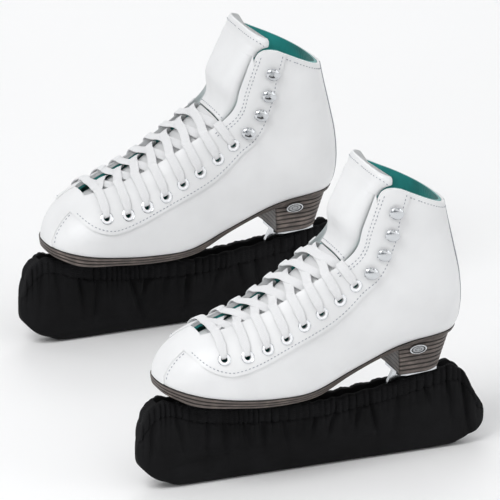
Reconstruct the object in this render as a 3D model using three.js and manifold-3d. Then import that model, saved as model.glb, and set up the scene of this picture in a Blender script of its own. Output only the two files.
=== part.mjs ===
// A pair of women's figure skates standing in their cloth blade covers.
// Millimetres. X runs from toe (-) to heel (+), Y across the pair, Z up.
// Z = 0 is the flat underside of the covers, and the origin is at the middle of the pair's footprint.
// The left skate is modelled in its own frame, at its own middle, and the right one is its mirror image.

import * as THREE from 'three';
import { mergeVertices } from 'three/addons/utils/BufferGeometryUtils.js';
import Module from 'manifold-3d';

const wasm = await Module();
wasm.setup();

// ---------------------------------------------------------------- driving dimensions

const pairSpread = 343.5;         // middle of one skate to middle of the other, across
const pairStagger = 29.5;         // how far the right skate stands back of the left one
const fitGap = 0.3;               // clearance between pieces that touch

const leatherThick = 2.0;
const liningThick = 2.0;
const facingThick = 1.3;
const plugThick = 0.9;
const backstayThick = 1.1;
const tongueThick = 3.0;
const tongueRoom = 3.4;           // space between lining and tongue, where the lace runs
const insoleThick = 3.0;

const soleOverhang = 1.8;         // how far the sole stands out past the upper
const throatStart = -99;          // front end of the lace opening
const throatEnd = 76;             // its back end, past the collar
const collarBackX = 117;
const collarBackZ = 222;
const collarFrontX = 54;
const collarFrontZ = 253.5;

const heelLifts = 8;
const heelBottomZ = 75.5;
const heelTopZ = 110;             // inside the sole, which cuts it
const heelTopHalfWidth = 27;
const heelBottomHalfWidth = 22.5;
const heelBreastTopX = 70;
const heelBreastBottomX = 73.5;
const heelBackTopX = 125;
const heelBackBottomX = 114.5;

const badgeLength = 15;
const badgeHeight = 8;
const badgeThick = 1.2;

const eyeletHoleRadius = 2.7;
const laceWidth = 8;
const laceThick = 1.1;

const hookWidth = 8.5;
const hookThick = 1.2;
const hookReach = 5.2;            // height of the hook above the facing
const hookLength = 10.5;
const hookSeat = 0.6;             // under the hook's flat foot, because the facing is curved

const bladeThick = 4;
const plateThick = 2.4;
const plateHalfWidth = 24;
const heelPlateHalfWidth = 19;

const guardHalfWidth = 11.5;
const guardTopHalfWidth = 9;
const guardFootHalfWidth = 8;
const guardSlotClearance = 0.5;   // a side, between blade and cloth
const guardFloor = 3.2;           // cloth under the runner, which stands on it

const hingeX = 16;                // stitched seam where the tongue folds
const hingeZ = 185.5;

function mixOf(a, b, t) {
  return a + t * (b - a);
}

// ---------------------------------------------------------------- boot surface
// The boot is a fan of closed sections. Each row runs from the sole or back line to the front line:
// sole/back x and z, ridge x and z, half width, shift to the inner side, squareness below and above.

const stations = [
  [-131.5, 94, -131.5, 94, 0, 7, 2.6, 2.0],
  [-130.3, 86, -130.3, 101.5, 12, 7, 2.8, 2.0],
  [-127, 79, -127, 108.5, 21.5, 6.5, 3.2, 2.0],
  [-120, 73, -120, 117.5, 31, 5.5, 3.6, 2.0],
  [-109, 69.5, -109, 126, 38, 4, 4, 2.0],
  [-95, 67.5, -95, 133, 41.8, 2.5, 4, 2.0],
  [-78, 66, -78, 139, 43.2, 1, 4, 2.0],
  [-50, 62, -62, 145.5, 43, 0, 4, 2.1],
  [-22, 61, -45, 153.5, 40.5, 0, 3.8, 2.3],
  [4, 65, -29, 164, 38, 0, 3.5, 2.6],
  [30, 76, -12, 175, 36.5, 0, 3.2, 3.0],
  [58, 88, 4, 186, 36.5, 0, 3, 3.3],
  [88, 95, 14.5, 195, 37, 0, 2.9, 3.4],
  [114, 98, 21, 203.5, 37.5, 0, 2.7, 3.5],
  [128, 110, 25, 211, 37.5, 0, 2.5, 3.7],
  [132.8, 129, 28, 220.5, 37.5, 0, 2.4, 3.9],
  [131.6, 154, 34, 231.5, 38, 0, 2.3, 4.1],
  [126.5, 179, 39, 240, 38, 0, 2.3, 4.4],
  [121, 203, 44, 248.5, 38.5, 0, 2.3, 4.5],
  [117, 222, 48.6, 255.2, 39, 0, 2.3, 4.5],
  [110.5, 253, 58, 279, 40, 0, 2.3, 4.5],
];

// In front of the toe tip the fan mirrors itself, so that the toe closes round.
const toeMirror = [...stations[1]];
[toeMirror[1], toeMirror[3], toeMirror[4]] = [stations[1][3], stations[1][1], -stations[1][4]];

const lastStation = stations.length - 1;
const aroundSteps = 14;

// Rows at which the solids are cut: close at the toe, wider along the shaft.
const rows = [0.12, 1.2, 2.4, 3.8, 5.6, 7.4, 9, 10.4, 11.6, 12.7, 13.6, 14.6, 16.4, 18, lastStation];

function stationRow(index) {
  if (index < 0) return toeMirror;
  if (index <= lastStation) return stations[index];
  return stations[lastStation].map((value, i) => 2 * value - stations[lastStation - 1][i]);
}

// Catmull-Rom between rows.
function section(s) {
  const i = Math.min(Math.max(Math.floor(s), 0), lastStation - 1);
  const t = s - i;
  const [p0, p1, p2, p3] = [stationRow(i - 1), stationRow(i), stationRow(i + 1), stationRow(i + 2)];
  return p1.map((value, k) => value + 0.5 * t * (p2[k] - p0[k]
    + t * (2 * p0[k] - 5 * p1[k] + 4 * p2[k] - p3[k] + t * (3 * (p1[k] - p2[k]) + p3[k] - p0[k]))));
}

// psi is 0 on the ridge, negative to the outer side and positive to the inner side, pi under the sole.
function skinPoint(s, psi) {
  const [bx, bz, tx, tz, halfWidth, shift, lower, upper] = section(s);
  const theta = Math.PI - Math.abs(psi);
  const power = 2 / (theta < Math.PI / 2 ? lower : upper);
  const along = 0.5 - 0.5 * Math.sign(Math.cos(theta)) * Math.abs(Math.cos(theta)) ** power;
  const across = Math.max(halfWidth, 0) * Math.sign(psi) * Math.abs(Math.sin(theta)) ** power;
  return new THREE.Vector3(bx + along * (tx - bx), shift + across, bz + along * (tz - bz));
}

function skinNormal(s, psi) {
  if (s < 0.02) return new THREE.Vector3(-1, 0, 0);
  const step = 0.05;
  const across = skinPoint(s, psi + step).sub(skinPoint(s, psi - step));
  const forward = skinPoint(Math.min(s + step, lastStation), psi).sub(skinPoint(Math.max(s - step, 0), psi));
  return forward.cross(across).normalize();
}

function skin(s, psi, offset) {
  return skinPoint(s, psi).addScaledVector(skinNormal(s, psi), offset);
}

function cornerPsi(k) {
  return Math.PI - (2 * Math.PI * (k + 0.5)) / aroundSteps;
}

// The same spot on the flat-sided solid that bootBody makes.
function facetSkin(s, psi, offset) {
  const i = Math.min(Math.max(rows.findIndex((row) => row > s), 1), rows.length - 1);
  const down = (s - rows[i - 1]) / (rows[i] - rows[i - 1]);
  const turn = ((Math.PI - psi) * aroundSteps) / (2 * Math.PI) - 0.5;
  const k = Math.floor(turn);
  const edge = (row) => skin(row, cornerPsi(k), offset).lerp(skin(row, cornerPsi(k + 1), offset), turn - k);
  return edge(rows[i - 1]).lerp(edge(rows[i]), down);
}

// Surface place (s, psi) of a spot given in side view.
function placeOnSide(x, z, side) {
  const across = (s) => {
    const [bx, bz, tx, tz] = section(s);
    return (tx - bx) * (z - bz) - (tz - bz) * (x - bx);
  };
  let low = 2;
  let high = lastStation;
  for (let i = 0; i < 40; i += 1) {
    const middle = (low + high) / 2;
    if (across(middle) > 0) high = middle;
    else low = middle;
  }
  const [bx, bz, tx, tz, , , lower, upper] = section(low);
  const along = ((x - bx) * (tx - bx) + (z - bz) * (tz - bz)) / ((tx - bx) ** 2 + (tz - bz) ** 2);
  const level = 1 - 2 * along;
  const cosine = Math.sign(level) * Math.min(Math.abs(level), 1) ** ((level > 0 ? lower : upper) / 2);
  return [low, side * (Math.PI - Math.acos(cosine))];
}

// ---------------------------------------------------------------- solids

function solid(geometry) {
  const bare = geometry.clone();
  bare.deleteAttribute('normal');
  bare.deleteAttribute('uv');
  const merged = mergeVertices(bare, 1e-4);
  return new wasm.Manifold(new wasm.Mesh({
    numProp: 3,
    vertProperties: new Float32Array(merged.attributes.position.array),
    triVerts: new Uint32Array(merged.index.array),
  }));
}

function geometryOf(body) {
  const { numProp, vertProperties, triVerts } = body.getMesh();
  const positions = new Float32Array(triVerts.length * 3);
  triVerts.forEach((vertex, i) => {
    positions.set(vertProperties.slice(vertex * numProp, vertex * numProp + 3), i * 3);
  });
  const geometry = new THREE.BufferGeometry();
  geometry.setAttribute('position', new THREE.BufferAttribute(positions, 3));
  geometry.computeVertexNormals();
  return geometry;
}

// A closed skin from rings of points, with a fan over the middle of each end ring.
function ringSolid(rings) {
  const count = rings[0].length;
  const points = rings.flat();
  const triangles = [];
  for (let r = 0; r + 1 < rings.length; r += 1) {
    for (let k = 0; k < count; k += 1) {
      const a = r * count + k;
      const b = r * count + (k + 1) % count;
      triangles.push(a, b, a + count, b, b + count, a + count);
    }
  }
  for (const [start, flip] of [[0, true], [(rings.length - 1) * count, false]]) {
    const middle = points.length;
    const centre = new THREE.Vector3();
    for (let k = 0; k < count; k += 1) centre.add(points[start + k]);
    points.push(centre.divideScalar(count));
    for (let k = 0; k < count; k += 1) {
      const a = start + k;
      const b = start + (k + 1) % count;
      triangles.push(...(flip ? [b, a, middle] : [a, b, middle]));
    }
  }
  const geometry = new THREE.BufferGeometry();
  const places = points.flatMap((point) => [point.x, point.y, point.z]);
  geometry.setAttribute('position', new THREE.Float32BufferAttribute(places, 3));
  geometry.setIndex(triangles);
  return solid(geometry);
}

function bootBody(offset) {
  return ringSolid(rows.map((row) => Array.from({ length: aroundSteps }, (_, k) => (
    skin(row, cornerPsi(k), offset)))));
}

// An outline in side view, carried across from yLow to yHigh.
function sideSlab(outline, yLow, yHigh) {
  const shape = new THREE.Shape(outline.map(([x, z]) => new THREE.Vector2(x, z)));
  const geometry = new THREE.ExtrudeGeometry(shape, { depth: yHigh - yLow, bevelEnabled: false });
  return solid(geometry.rotateX(Math.PI / 2).translate(0, yHigh, 0));
}

// An outline in plan, carried up from zLow to zHigh.
function planSlab(outline, zLow, zHigh) {
  const shape = new THREE.Shape(outline.map(([x, y]) => new THREE.Vector2(x, y)));
  const geometry = new THREE.ExtrudeGeometry(shape, { depth: zHigh - zLow, bevelEnabled: false });
  return solid(geometry.translate(0, 0, zLow));
}

function box(xLow, xHigh, yLow, yHigh, zLow, zHigh) {
  const geometry = new THREE.BoxGeometry(xHigh - xLow, yHigh - yLow, zHigh - zLow);
  return solid(geometry.translate((xLow + xHigh) / 2, (yLow + yHigh) / 2, (zLow + zHigh) / 2));
}

// A piece made with +Z outward, set on the boot's side at a spot given in side view.
// Its +X points towards `aim`, a second spot in side view.
function sideFrame(spot, aim, side, lift) {
  const [s, psi] = placeOnSide(...spot, side);
  const normal = skinNormal(s, psi);
  const origin = facetSkin(s, psi, lift);
  const [sAim, psiAim] = placeOnSide(...aim, side);
  const forward = facetSkin(sAim, psiAim, lift).sub(origin);
  forward.addScaledVector(normal, -forward.dot(normal)).normalize();
  const left = normal.clone().cross(forward);
  return new THREE.Matrix4().makeBasis(forward, left, normal).setPosition(origin);
}

function smooth(points, steps) {
  const curve = new THREE.CatmullRomCurve3(points.map(([x, z]) => new THREE.Vector3(x, z, 0)));
  return curve.getPoints(steps).map((p) => [p.x, p.y]);
}

// ---------------------------------------------------------------- lines in side view

const beyond = 170;               // past either end of the skate
const above = 330;                // over everything

const soleTopLine = smooth([
  [-beyond, 96], [-131, 91.6], [-100, 86], [-72, 81.7], [-42, 78.6], [-19, 77.4], [-2, 80], [23, 89],
  [46, 97.4], [63, 103.8], [80, 108], [99, 110.3], [118, 110.8], [beyond, 110.8],
], 18);
const soleBottomLine = smooth([
  [-beyond, 90], [-131, 83.4], [-113, 78.2], [-86, 75.4], [-57, 72.4], [-26, 70.7], [-6, 71.8], [6.5, 76.3],
  [23.5, 84.6], [39.5, 91], [54.5, 96.3], [70, 101.3], [85, 105], [100, 107], [118, 107.6], [beyond, 107.6],
], 20);

function raised(line, by) {
  return line.map(([x, z]) => [x, z + by]);
}

function aboveLine(line) {
  return sideSlab([...line, [line[line.length - 1][0], above], [line[0][0], above]], -80, 80);
}

function belowLine(line) {
  return sideSlab([[line[0][0], -20], [line[line.length - 1][0], -20], ...[...line].reverse()], -80, 80);
}

const collarSlope = (collarBackZ - collarFrontZ) / (collarBackX - collarFrontX);
const collarLine = [-beyond, beyond].map((x) => [x, collarFrontZ + collarSlope * (x - collarFrontX)]);
const belowCollar = belowLine(collarLine);
const aboveSole = aboveLine(soleTopLine);

// ---------------------------------------------------------------- lace opening

// Half width of the lace opening and its middle, along X.
const throatWidths = [
  [throatStart, 11.5, 3], [throatStart + 3, 13.5, 2.7], [-75, 18, 1], [-45, 22, 0], [-14, 26.5, 0],
  [13, 30, 0], [30, 32, 0], [54, 34, 0], [throatEnd, 34, 0],
];
const throatDepth = smooth([
  [-112, 105], [-78, 117], [-45, 130], [-15, 145], [10, 165], [30, 190], [45, 215], [78, 236],
], 7);

// [x, half width, middle] anywhere along the opening.
function throatAt(x) {
  const i = Math.min(Math.max(throatWidths.findIndex(([rowX]) => rowX >= x), 1), throatWidths.length - 1);
  const t = (x - throatWidths[i - 1][0]) / (throatWidths[i][0] - throatWidths[i - 1][0]);
  return throatWidths[i - 1].map((value, k) => mixOf(value, throatWidths[i][k], t));
}

function throatBody(widen, start, end) {
  const between = throatWidths.filter(([x]) => x > start && x < end);
  const plan = [throatAt(start), ...between, throatAt(end)];
  const near = plan.map(([x, w, m]) => [x, m - w - widen]);
  const far = plan.map(([x, w, m]) => [x, m + w + widen]).reverse();
  return planSlab([...near, ...far], 90, above - 10).intersect(aboveLine([[-beyond, 105], ...throatDepth]));
}

const throat = throatBody(0, throatStart, throatEnd);

function shell(outer, thickness) {
  return bootBody(outer).subtract(bootBody(outer - thickness));
}

// ---------------------------------------------------------------- boot pieces

const liningOuter = -(leatherThick + fitGap);
const tongueOuter = liningOuter - liningThick - tongueRoom;
const facingOuter = fitGap + facingThick;

// Side-view places of the eyelets and the speed hooks, from toe to collar.
const eyeletSpots = [
  [-88.5, 117.8], [-69.5, 118.8], [-51.8, 123.2], [-34.2, 129.4], [-18.1, 138.1], [-2.2, 146.4],
  [14, 156], [27.9, 166.8],
];
const hookSpots = [
  [41, 176.8], [52.2, 191.8], [59, 208.6], [62.5, 227.8],
];

function eyeletTools(side, radius, low, high, sides) {
  const tools = eyeletSpots.map(([x, z]) => {
    const frame = sideFrame([x, z], [x + 12, z + 6], side, 0);
    const geometry = new THREE.CylinderGeometry(radius, radius, high - low, sides).rotateX(Math.PI / 2);
    return solid(geometry.translate(0, 0, (low + high) / 2).applyMatrix4(frame));
  });
  return tools.reduce((all, tool) => all.add(tool));
}

function makeUpper() {
  return shell(0, leatherThick).intersect(aboveSole).intersect(belowCollar).subtract(throat);
}

function makeLining() {
  return shell(liningOuter, liningThick).intersect(aboveLine(raised(soleTopLine, fitGap)))
    .intersect(belowCollar).subtract(throat);
}

const plugPlan = [
  [-140, -2], [-129, -7], [-120, -9.5], [-109, -11], [throatStart - fitGap, -9.5],
  [throatStart - fitGap, 15.5], [-109, 19], [-120, 20.5], [-129, 21], [-140, 16],
];

function makeToePlug() {
  return shell(fitGap + plugThick, plugThick).intersect(planSlab(plugPlan, 60, 180))
    .intersect(aboveLine(raised(soleTopLine, fitGap)));
}

const facingOutline = [
  [-118, 124], [-113.8, 120.5], [-104.6, 112], [-94, 107], [-81, 105], [-63.7, 108.5], [-46, 114.2],
  [-28, 120.7], [-9.5, 127.5], [8.4, 135.8], [22.5, 145.8], [36, 158.5], [48.5, 167.5], [61.5, 191],
  [68.5, 219], [76, 249], [84, 290], [-60, 290], [-122, 170],
];

function makeFacing(side) {
  const half = side < 0 ? [-70, 0] : [0, 70];
  const plugRoom = planSlab(plugPlan.map(([x, y]) => [x, y < 3 ? y - fitGap : y + fitGap]), 60, 180)
    .intersect(box(-150, throatStart + 1, -60, 60, 60, 180));
  return shell(facingOuter, facingThick).intersect(sideSlab(facingOutline, ...half))
    .intersect(belowCollar).subtract(throat).subtract(plugRoom)
    .subtract(eyeletTools(side, eyeletHoleRadius, -3, 6, 6));
}

function makeBackstay() {
  const plan = planSlab([[95, -7], [beyond, -7], [beyond, 7], [95, 7]], 60, above);
  return shell(fitGap + backstayThick, backstayThick).intersect(plan)
    .intersect(aboveLine(raised(soleTopLine, fitGap))).intersect(belowCollar);
}

function makeInsole() {
  const top = raised(soleTopLine, fitGap + insoleThick);
  return bootBody(liningOuter - liningThick - fitGap).intersect(aboveLine(raised(soleTopLine, fitGap)))
    .intersect(belowLine(top));
}

// The tongue is cut in two along the seam, a plane square to its front at the hinge.
const seamAngle = Math.atan2(77, 42);
const seamInward = [Math.sin(seamAngle), -Math.cos(seamAngle)];

function seamLine(shift) {
  const start = [hingeX + shift * Math.cos(seamAngle), hingeZ + shift * Math.sin(seamAngle)];
  return [-60, 110].map((reach) => [start[0] + reach * seamInward[0], start[1] + reach * seamInward[1]]);
}

const tongueSlack = 2.4;          // a side, between the tongue and the facing edges it swings between
const tongueTuck = 5;             // a side, of the tongue base under the facings
const tongueTopZ = 259.5;
const tongueTopHalfWidth = 32;
const tongueCorner = 12;

function makeTongue() {
  const corners = [];
  for (const side of [1, -1]) {
    for (let i = 0; i <= 4; i += 1) {
      const angle = (i / 4) * (Math.PI / 2);
      const turn = side > 0 ? angle : Math.PI / 2 - angle;
      corners.push([side * (tongueTopHalfWidth - tongueCorner + tongueCorner * Math.cos(turn)),
        tongueTopZ - tongueCorner + tongueCorner * Math.sin(turn)]);
    }
  }
  const foot = [[-tongueTopHalfWidth, 100], [tongueTopHalfWidth, 100]];
  const front = new THREE.Shape([...foot, ...corners].map(([y, z]) => new THREE.Vector2(y, z)));
  const slab = solid(new THREE.ExtrudeGeometry(front, { depth: 200, bevelEnabled: false })
    .rotateX(Math.PI / 2).rotateZ(Math.PI / 2).translate(-60, 0, 0));
  return shell(tongueOuter, tongueThick).intersect(throatBody(-tongueSlack, -60, throatEnd))
    .intersect(aboveLine(seamLine(fitGap / 2))).intersect(slab);
}

function makeTongueBase() {
  return shell(tongueOuter, tongueThick).intersect(throatBody(tongueTuck, throatStart, 60))
    .intersect(belowLine(seamLine(-fitGap / 2)));
}

function makeOutsole() {
  return bootBody(soleOverhang).intersect(belowLine(raised(soleTopLine, -fitGap)))
    .intersect(aboveLine(soleBottomLine));
}

// ---------------------------------------------------------------- heel and badges

function heelPlan(breastX, backX, halfWidth) {
  const straightEnd = backX - halfWidth;
  const outline = [[breastX, -halfWidth]];
  for (let i = 0; i <= 8; i += 1) {
    const angle = -Math.PI / 2 + (i / 8) * Math.PI;
    outline.push([straightEnd + halfWidth * Math.cos(angle), halfWidth * Math.sin(angle)]);
  }
  outline.push([breastX, halfWidth]);
  return outline;
}

function makeHeel() {
  const lift = (heelTopZ - heelBottomZ) / heelLifts;
  let body = null;
  for (let i = 0; i < heelLifts; i += 1) {
    const share = (i + 0.5) / heelLifts;
    const plan = heelPlan(mixOf(heelBreastBottomX, heelBreastTopX, share),
      mixOf(heelBackBottomX, heelBackTopX, share), mixOf(heelBottomHalfWidth, heelTopHalfWidth, share));
    const layer = planSlab(plan, heelBottomZ + i * lift, heelBottomZ + (i + 1) * lift);
    body = body ? body.add(layer) : layer;
  }
  return body.intersect(belowLine(raised(soleBottomLine, -fitGap)));
}

const badgeX = 88;
const badgeZ = 98.5;
const badgeStandOff = 0.7;        // clear of the widest lift beside it

function makeBadge(side) {
  const share = (badgeZ - heelBottomZ) / (heelTopZ - heelBottomZ);
  const halfWidth = mixOf(heelBottomHalfWidth, heelTopHalfWidth, share);
  const slope = Math.atan2(heelTopHalfWidth - heelBottomHalfWidth, heelTopZ - heelBottomZ);
  const geometry = new THREE.CylinderGeometry(0.5, 0.5, badgeThick, 16)
    .scale(badgeLength, 1, badgeHeight)
    .rotateX(-slope)
    .translate(badgeX, halfWidth + badgeStandOff + badgeThick / 2, badgeZ);
  return solid(side > 0 ? geometry : geometry.rotateZ(Math.PI).translate(2 * badgeX, 0, 0));
}

// ---------------------------------------------------------------- speed hooks

function makeHook(index, side) {
  const [x, z] = hookSpots[index];
  const frame = sideFrame([x, z], [x + 12, z - 4], side, facingOuter + hookSeat);
  const reach = hookReach;
  const half = hookLength / 2;
  const profile = [
    [-half, 0], [half - 2, 0], [half - 1.2, hookThick], [-half + 2.4, hookThick],
    [-half + 2.2, reach - 2 * hookThick], [-half + 3.2, reach - hookThick], [half - 2, reach - hookThick],
    [half, reach - hookThick - 0.8], [half + 0.8, reach - hookThick], [half - 1.5, reach],
    [-half + 2.2, reach], [-half + 0.8, reach - 1.4],
  ];
  const shape = new THREE.Shape(profile.map(([along, out]) => new THREE.Vector2(along, out)));
  const geometry = new THREE.ExtrudeGeometry(shape, { depth: hookWidth, bevelEnabled: false })
    .rotateX(Math.PI / 2).translate(0, hookWidth / 2, 0);
  return solid(geometry.applyMatrix4(frame));
}

// ---------------------------------------------------------------- lace

const laceOver = facingOuter + 1.8 + laceThick / 2;
const laceUnder = liningOuter - liningThick - 0.95 - laceThick / 2;
const laceMouth = 5;              // width of the lace where it comes out of an eyelet
const laceLean = 0.05;            // how far towards the collar it runs before the facing edge, in stations
const laceEndDrop = 0.9;          // the two tucked ends lie closer to the facing
const laceDip = -2.4;             // where two laces cross, below the boot's front line

// A flat strip through knots [s, psi, offset, width, thickness] on the boot's surface.
function strip(knots, stepsEach) {
  const samples = [];
  for (let i = 0; i + 1 < knots.length; i += 1) {
    for (let k = 0; k < stepsEach; k += 1) {
      samples.push(knots[i].map((value, n) => mixOf(value, knots[i + 1][n], k / stepsEach)));
    }
  }
  samples.push(knots[knots.length - 1]);
  const centres = samples.map(([s, psi, offset]) => facetSkin(s, psi, offset));
  const rings = samples.map(([s, psi, , width, thick], i) => {
    const tangent = centres[Math.min(i + 1, centres.length - 1)].clone().sub(centres[Math.max(i - 1, 0)]);
    const normal = skinNormal(s, psi);
    const across = normal.clone().cross(tangent).normalize();
    const up = tangent.clone().cross(across).normalize();
    return [[-1, -1], [1, -1], [1, 1], [-1, 1]].map(([a, u]) => centres[i].clone()
      .addScaledVector(across, (a * width) / 2)
      .addScaledVector(up, (u * thick) / 2));
  });
  return ringSolid(rings);
}

// Angle at which the facing edge lies on section s.
function edgePsi(s) {
  let low = 0.05;
  let high = 1.5;
  for (let i = 0; i < 30; i += 1) {
    const middle = (low + high) / 2;
    const point = skinPoint(s, middle);
    if (point.y > throatAt(point.x)[1]) high = middle;
    else low = middle;
  }
  return low;
}

const wide = [laceWidth, laceThick];

// From an eyelet's mouth up to the facing edge.
function riseToEdge(side, k, drop = 0) {
  const [s, psi] = placeOnSide(...eyeletSpots[k], side);
  const edge = side * edgePsi(s + laceLean);
  return [
    [s, psi, laceOver - drop, laceMouth, laceThick],
    [s + 0.4 * laceLean, mixOf(psi, edge, 0.35), laceOver - drop + 0.2, ...wide],
    [s + 0.7 * laceLean, mixOf(psi, edge, 0.7), laceOver - drop + 0.3, ...wide],
    [s + laceLean, 0.94 * edge, laceOver - drop, ...wide],
  ];
}

function makeLace() {
  const strips = [];
  const [near, far] = [riseToEdge(-1, 0), riseToEdge(1, 0)];
  const bar = near[3][0];
  const barDip = laceDip - 1.5;
  strips.push([...near, [bar, 0.72 * near[3][1], barDip, ...wide], [bar, 0.72 * far[3][1], barDip, ...wide],
    ...far.reverse()]);
  for (let k = 0; k + 1 < eyeletSpots.length; k += 1) {
    for (const side of [-1, 1]) {
      const rise = riseToEdge(side, k);
      const [sEdge, edge] = rise[3];
      const next = placeOnSide(...eyeletSpots[k + 1], -side);
      const farEdge = -Math.sign(edge) * edgePsi(next[0]);
      strips.push([...(k === 0 ? [] : rise), [mixOf(sEdge, next[0], 0.05), 0.84 * edge, 0.6, ...wide],
        [mixOf(sEdge, next[0], 0.12), 0.68 * edge, laceDip - 2, ...wide],
        [mixOf(sEdge, next[0], 0.35), 0, laceDip, ...wide],
        [mixOf(sEdge, next[0], 0.9), 0.78 * farEdge, laceDip - 2.4, ...wide],
        [next[0], 1.04 * farEdge, laceUnder, ...wide]]);
    }
  }
  const wall = bootBody(facingOuter + fitGap).subtract(bootBody(liningOuter - liningThick - fitGap))
    .subtract(throatBody(-fitGap, throatStart + fitGap, throatEnd));
  return strips.map((knots) => strip(knots, 1)).reduce((all, piece) => all.add(piece))
    .subtract(wall).subtract(bootBody(tongueOuter + fitGap));
}

// The end of the lace, out of the last eyelet and over the facing edge, where it is tucked in.
function makeLaceEnd(side) {
  return strip(riseToEdge(side, eyeletSpots.length - 1, laceEndDrop), 2);
}

// ---------------------------------------------------------------- blade

const runnerToeX = -134;
const runnerHeelX = 138;
const runnerBottomZ = guardFloor;
const toePickTeeth = 4;
const runnerTopZ = 25;

function plateBottomLine() {
  return raised(soleBottomLine, -2 * fitGap - plateThick);
}

const heelPlateTopZ = heelBottomZ - fitGap;
const heelPlateBottomZ = heelPlateTopZ - plateThick;

function makeBlade() {
  const outline = [
    [runnerHeelX, 10], [runnerHeelX - 14, runnerBottomZ + 2.4], [60, runnerBottomZ + 0.4], [0, runnerBottomZ],
    [-60, runnerBottomZ + 0.4], [-104, runnerBottomZ + 2], [-111, runnerBottomZ + 4.5],
  ];
  for (let i = 0; i < toePickTeeth; i += 1) {
    const share = i / toePickTeeth;
    outline.push([-113 - 19 * share, runnerBottomZ + 1.2 + 14 * share * share]);
    outline.push([-116.4 - 19 * share, runnerBottomZ + 6.2 + 16 * share * share]);
  }
  outline.push(
    [runnerToeX, 26], [runnerToeX + 6, 36], [-118, 42], [-111, 60], [-109, 78], [-32, 78], [-36, 60],
    [-50, 40], [-62, 30], [-50, runnerTopZ], [40, runnerTopZ], [54, 32], [66, 52],
    [76, heelPlateBottomZ - fitGap],
    [110, heelPlateBottomZ - fitGap], [114, 50], [122, 32], [runnerHeelX - 6, 22], [runnerHeelX, 16],
  );
  return sideSlab(outline.reverse(), -bladeThick / 2, bladeThick / 2)
    .intersect(belowLine(raised(plateBottomLine(), -fitGap)));
}

// An oblong with its four corners taken off.
function platePlan(frontX, backX, frontHalf, backHalf, corner) {
  const near = [
    [frontX, corner - frontHalf], [frontX + 0.3 * corner, 0.3 * corner - frontHalf],
    [frontX + corner, -frontHalf], [backX - corner, -backHalf],
    [backX - 0.3 * corner, 0.3 * corner - backHalf], [backX, corner - backHalf],
  ];
  return [...near, ...near.map(([x, y]) => [x, -y]).reverse()];
}

function makeSolePlate() {
  const plan = platePlan(-110, -30, plateHalfWidth, plateHalfWidth - 5, 10);
  return planSlab(plan, 60, 90).intersect(belowLine(raised(soleBottomLine, -fitGap)))
    .intersect(aboveLine(plateBottomLine()));
}

function makeHeelPlate() {
  const [front, back] = [heelBreastBottomX + 1, heelBackBottomX - 2];
  const plan = platePlan(front, back, heelPlateHalfWidth, heelPlateHalfWidth - 4, 7);
  return planSlab(plan, heelPlateBottomZ, heelPlateTopZ);
}

// ---------------------------------------------------------------- blade cover

const guardToeX = -153.6;
const guardHeelX = 158;
const guardOutline = [
  [-116, 0], [118, 0], [133, 2.5], [146, 8], [155, 15], [guardHeelX, 21.5], [156.5, 29], [149.5, 41],
  [143, 53], [137, 65], [131, 70.6], [125, 72.5], [110, 70.3], [73, 64], [32, 59.5], [0, 57.5], [-40, 59.5],
  [-72, 63], [-100, 67.5], [-118, 74], [-129, 77], [-138, 75.6], [-146, 67], [-151, 52], [guardToeX, 34],
  [-151.5, 22], [-142.5, 12], [-130, 4.5],
];
const hemLine = [
  [-190, 36], [-153.6, 42], [-147, 52], [-139, 60.6], [-130, 64], [-118, 61], [-100, 54.5], [-72, 50],
  [-40, 46.5], [0, 44.5], [32, 46.5], [73, 51], [110, 57.3], [124.7, 59.5], [131, 58], [138, 51.5], [145, 41],
  [152, 30], [190, 26],
];

function guardWhole() {
  const across = [
    [-guardFootHalfWidth, 0], [guardFootHalfWidth, 0], [guardHalfWidth - 0.8, 5], [guardHalfWidth, 14],
    [guardHalfWidth, 42], [guardTopHalfWidth, 62], [guardTopHalfWidth - 1.5, 79],
    [1.5 - guardTopHalfWidth, 79],
    [-guardTopHalfWidth, 62], [-guardHalfWidth, 42], [-guardHalfWidth, 14], [0.8 - guardHalfWidth, 5],
  ];
  const shape = new THREE.Shape(across.map(([y, z]) => new THREE.Vector2(y, z)));
  const long = solid(new THREE.ExtrudeGeometry(shape, { depth: 2 * beyond, bevelEnabled: false })
    .rotateX(Math.PI / 2).rotateZ(Math.PI / 2).translate(-beyond, 0, 0));
  const half = guardHalfWidth + 1;
  const plan = [
    [guardToeX - 0.5, -5], [guardToeX + 6, -9], [guardToeX + 18, -half], [guardHeelX - 20, -half],
    [guardHeelX - 7, -9.5], [guardHeelX + 0.5, -5],
  ];
  const round = planSlab([...plan, ...plan.map(([x, y]) => [x, -y]).reverse()], -5, 90);
  const slotHalf = bladeThick / 2 + guardSlotClearance;
  const slot = sideSlab([
    [runnerToeX - 1, 120], [runnerToeX - 1, guardFloor + 11], [runnerToeX + 16, guardFloor - fitGap],
    [runnerHeelX - 12, guardFloor - fitGap], [runnerHeelX + 1, guardFloor + 5.3], [runnerHeelX + 1, 120],
  ], -slotHalf, slotHalf);
  return sideSlab(guardOutline, -half, half).intersect(long).intersect(round).subtract(slot);
}

const guardSolid = guardWhole();

function makeGuard() {
  return guardSolid.intersect(belowLine(raised(hemLine, -fitGap)));
}

function makeGuardBand() {
  return guardSolid.intersect(aboveLine(hemLine));
}

// ---------------------------------------------------------------- finishes

function finish(color, roughness, metalness = 0) {
  return new THREE.MeshStandardMaterial({ color, roughness, metalness });
}

const whiteLeather = finish(0xeef0f2, 0.45);
const tealLining = finish(0x2a8f83, 0.9);
const stackedSole = finish(0x6e635f, 0.6);
const whiteLace = finish(0xf6f6fa, 0.85);
const chrome = finish(0xd8dade, 0.15, 1);
const badgeMetal = finish(0xe6e8ea, 0.3, 0.7);
const insoleBoard = finish(0xc9b79c, 0.8);
const blackCloth = finish(0x17171a, 0.9);
const blackElastic = finish(0x1b1b1e, 0.85);

// ---------------------------------------------------------------- assembly

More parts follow.
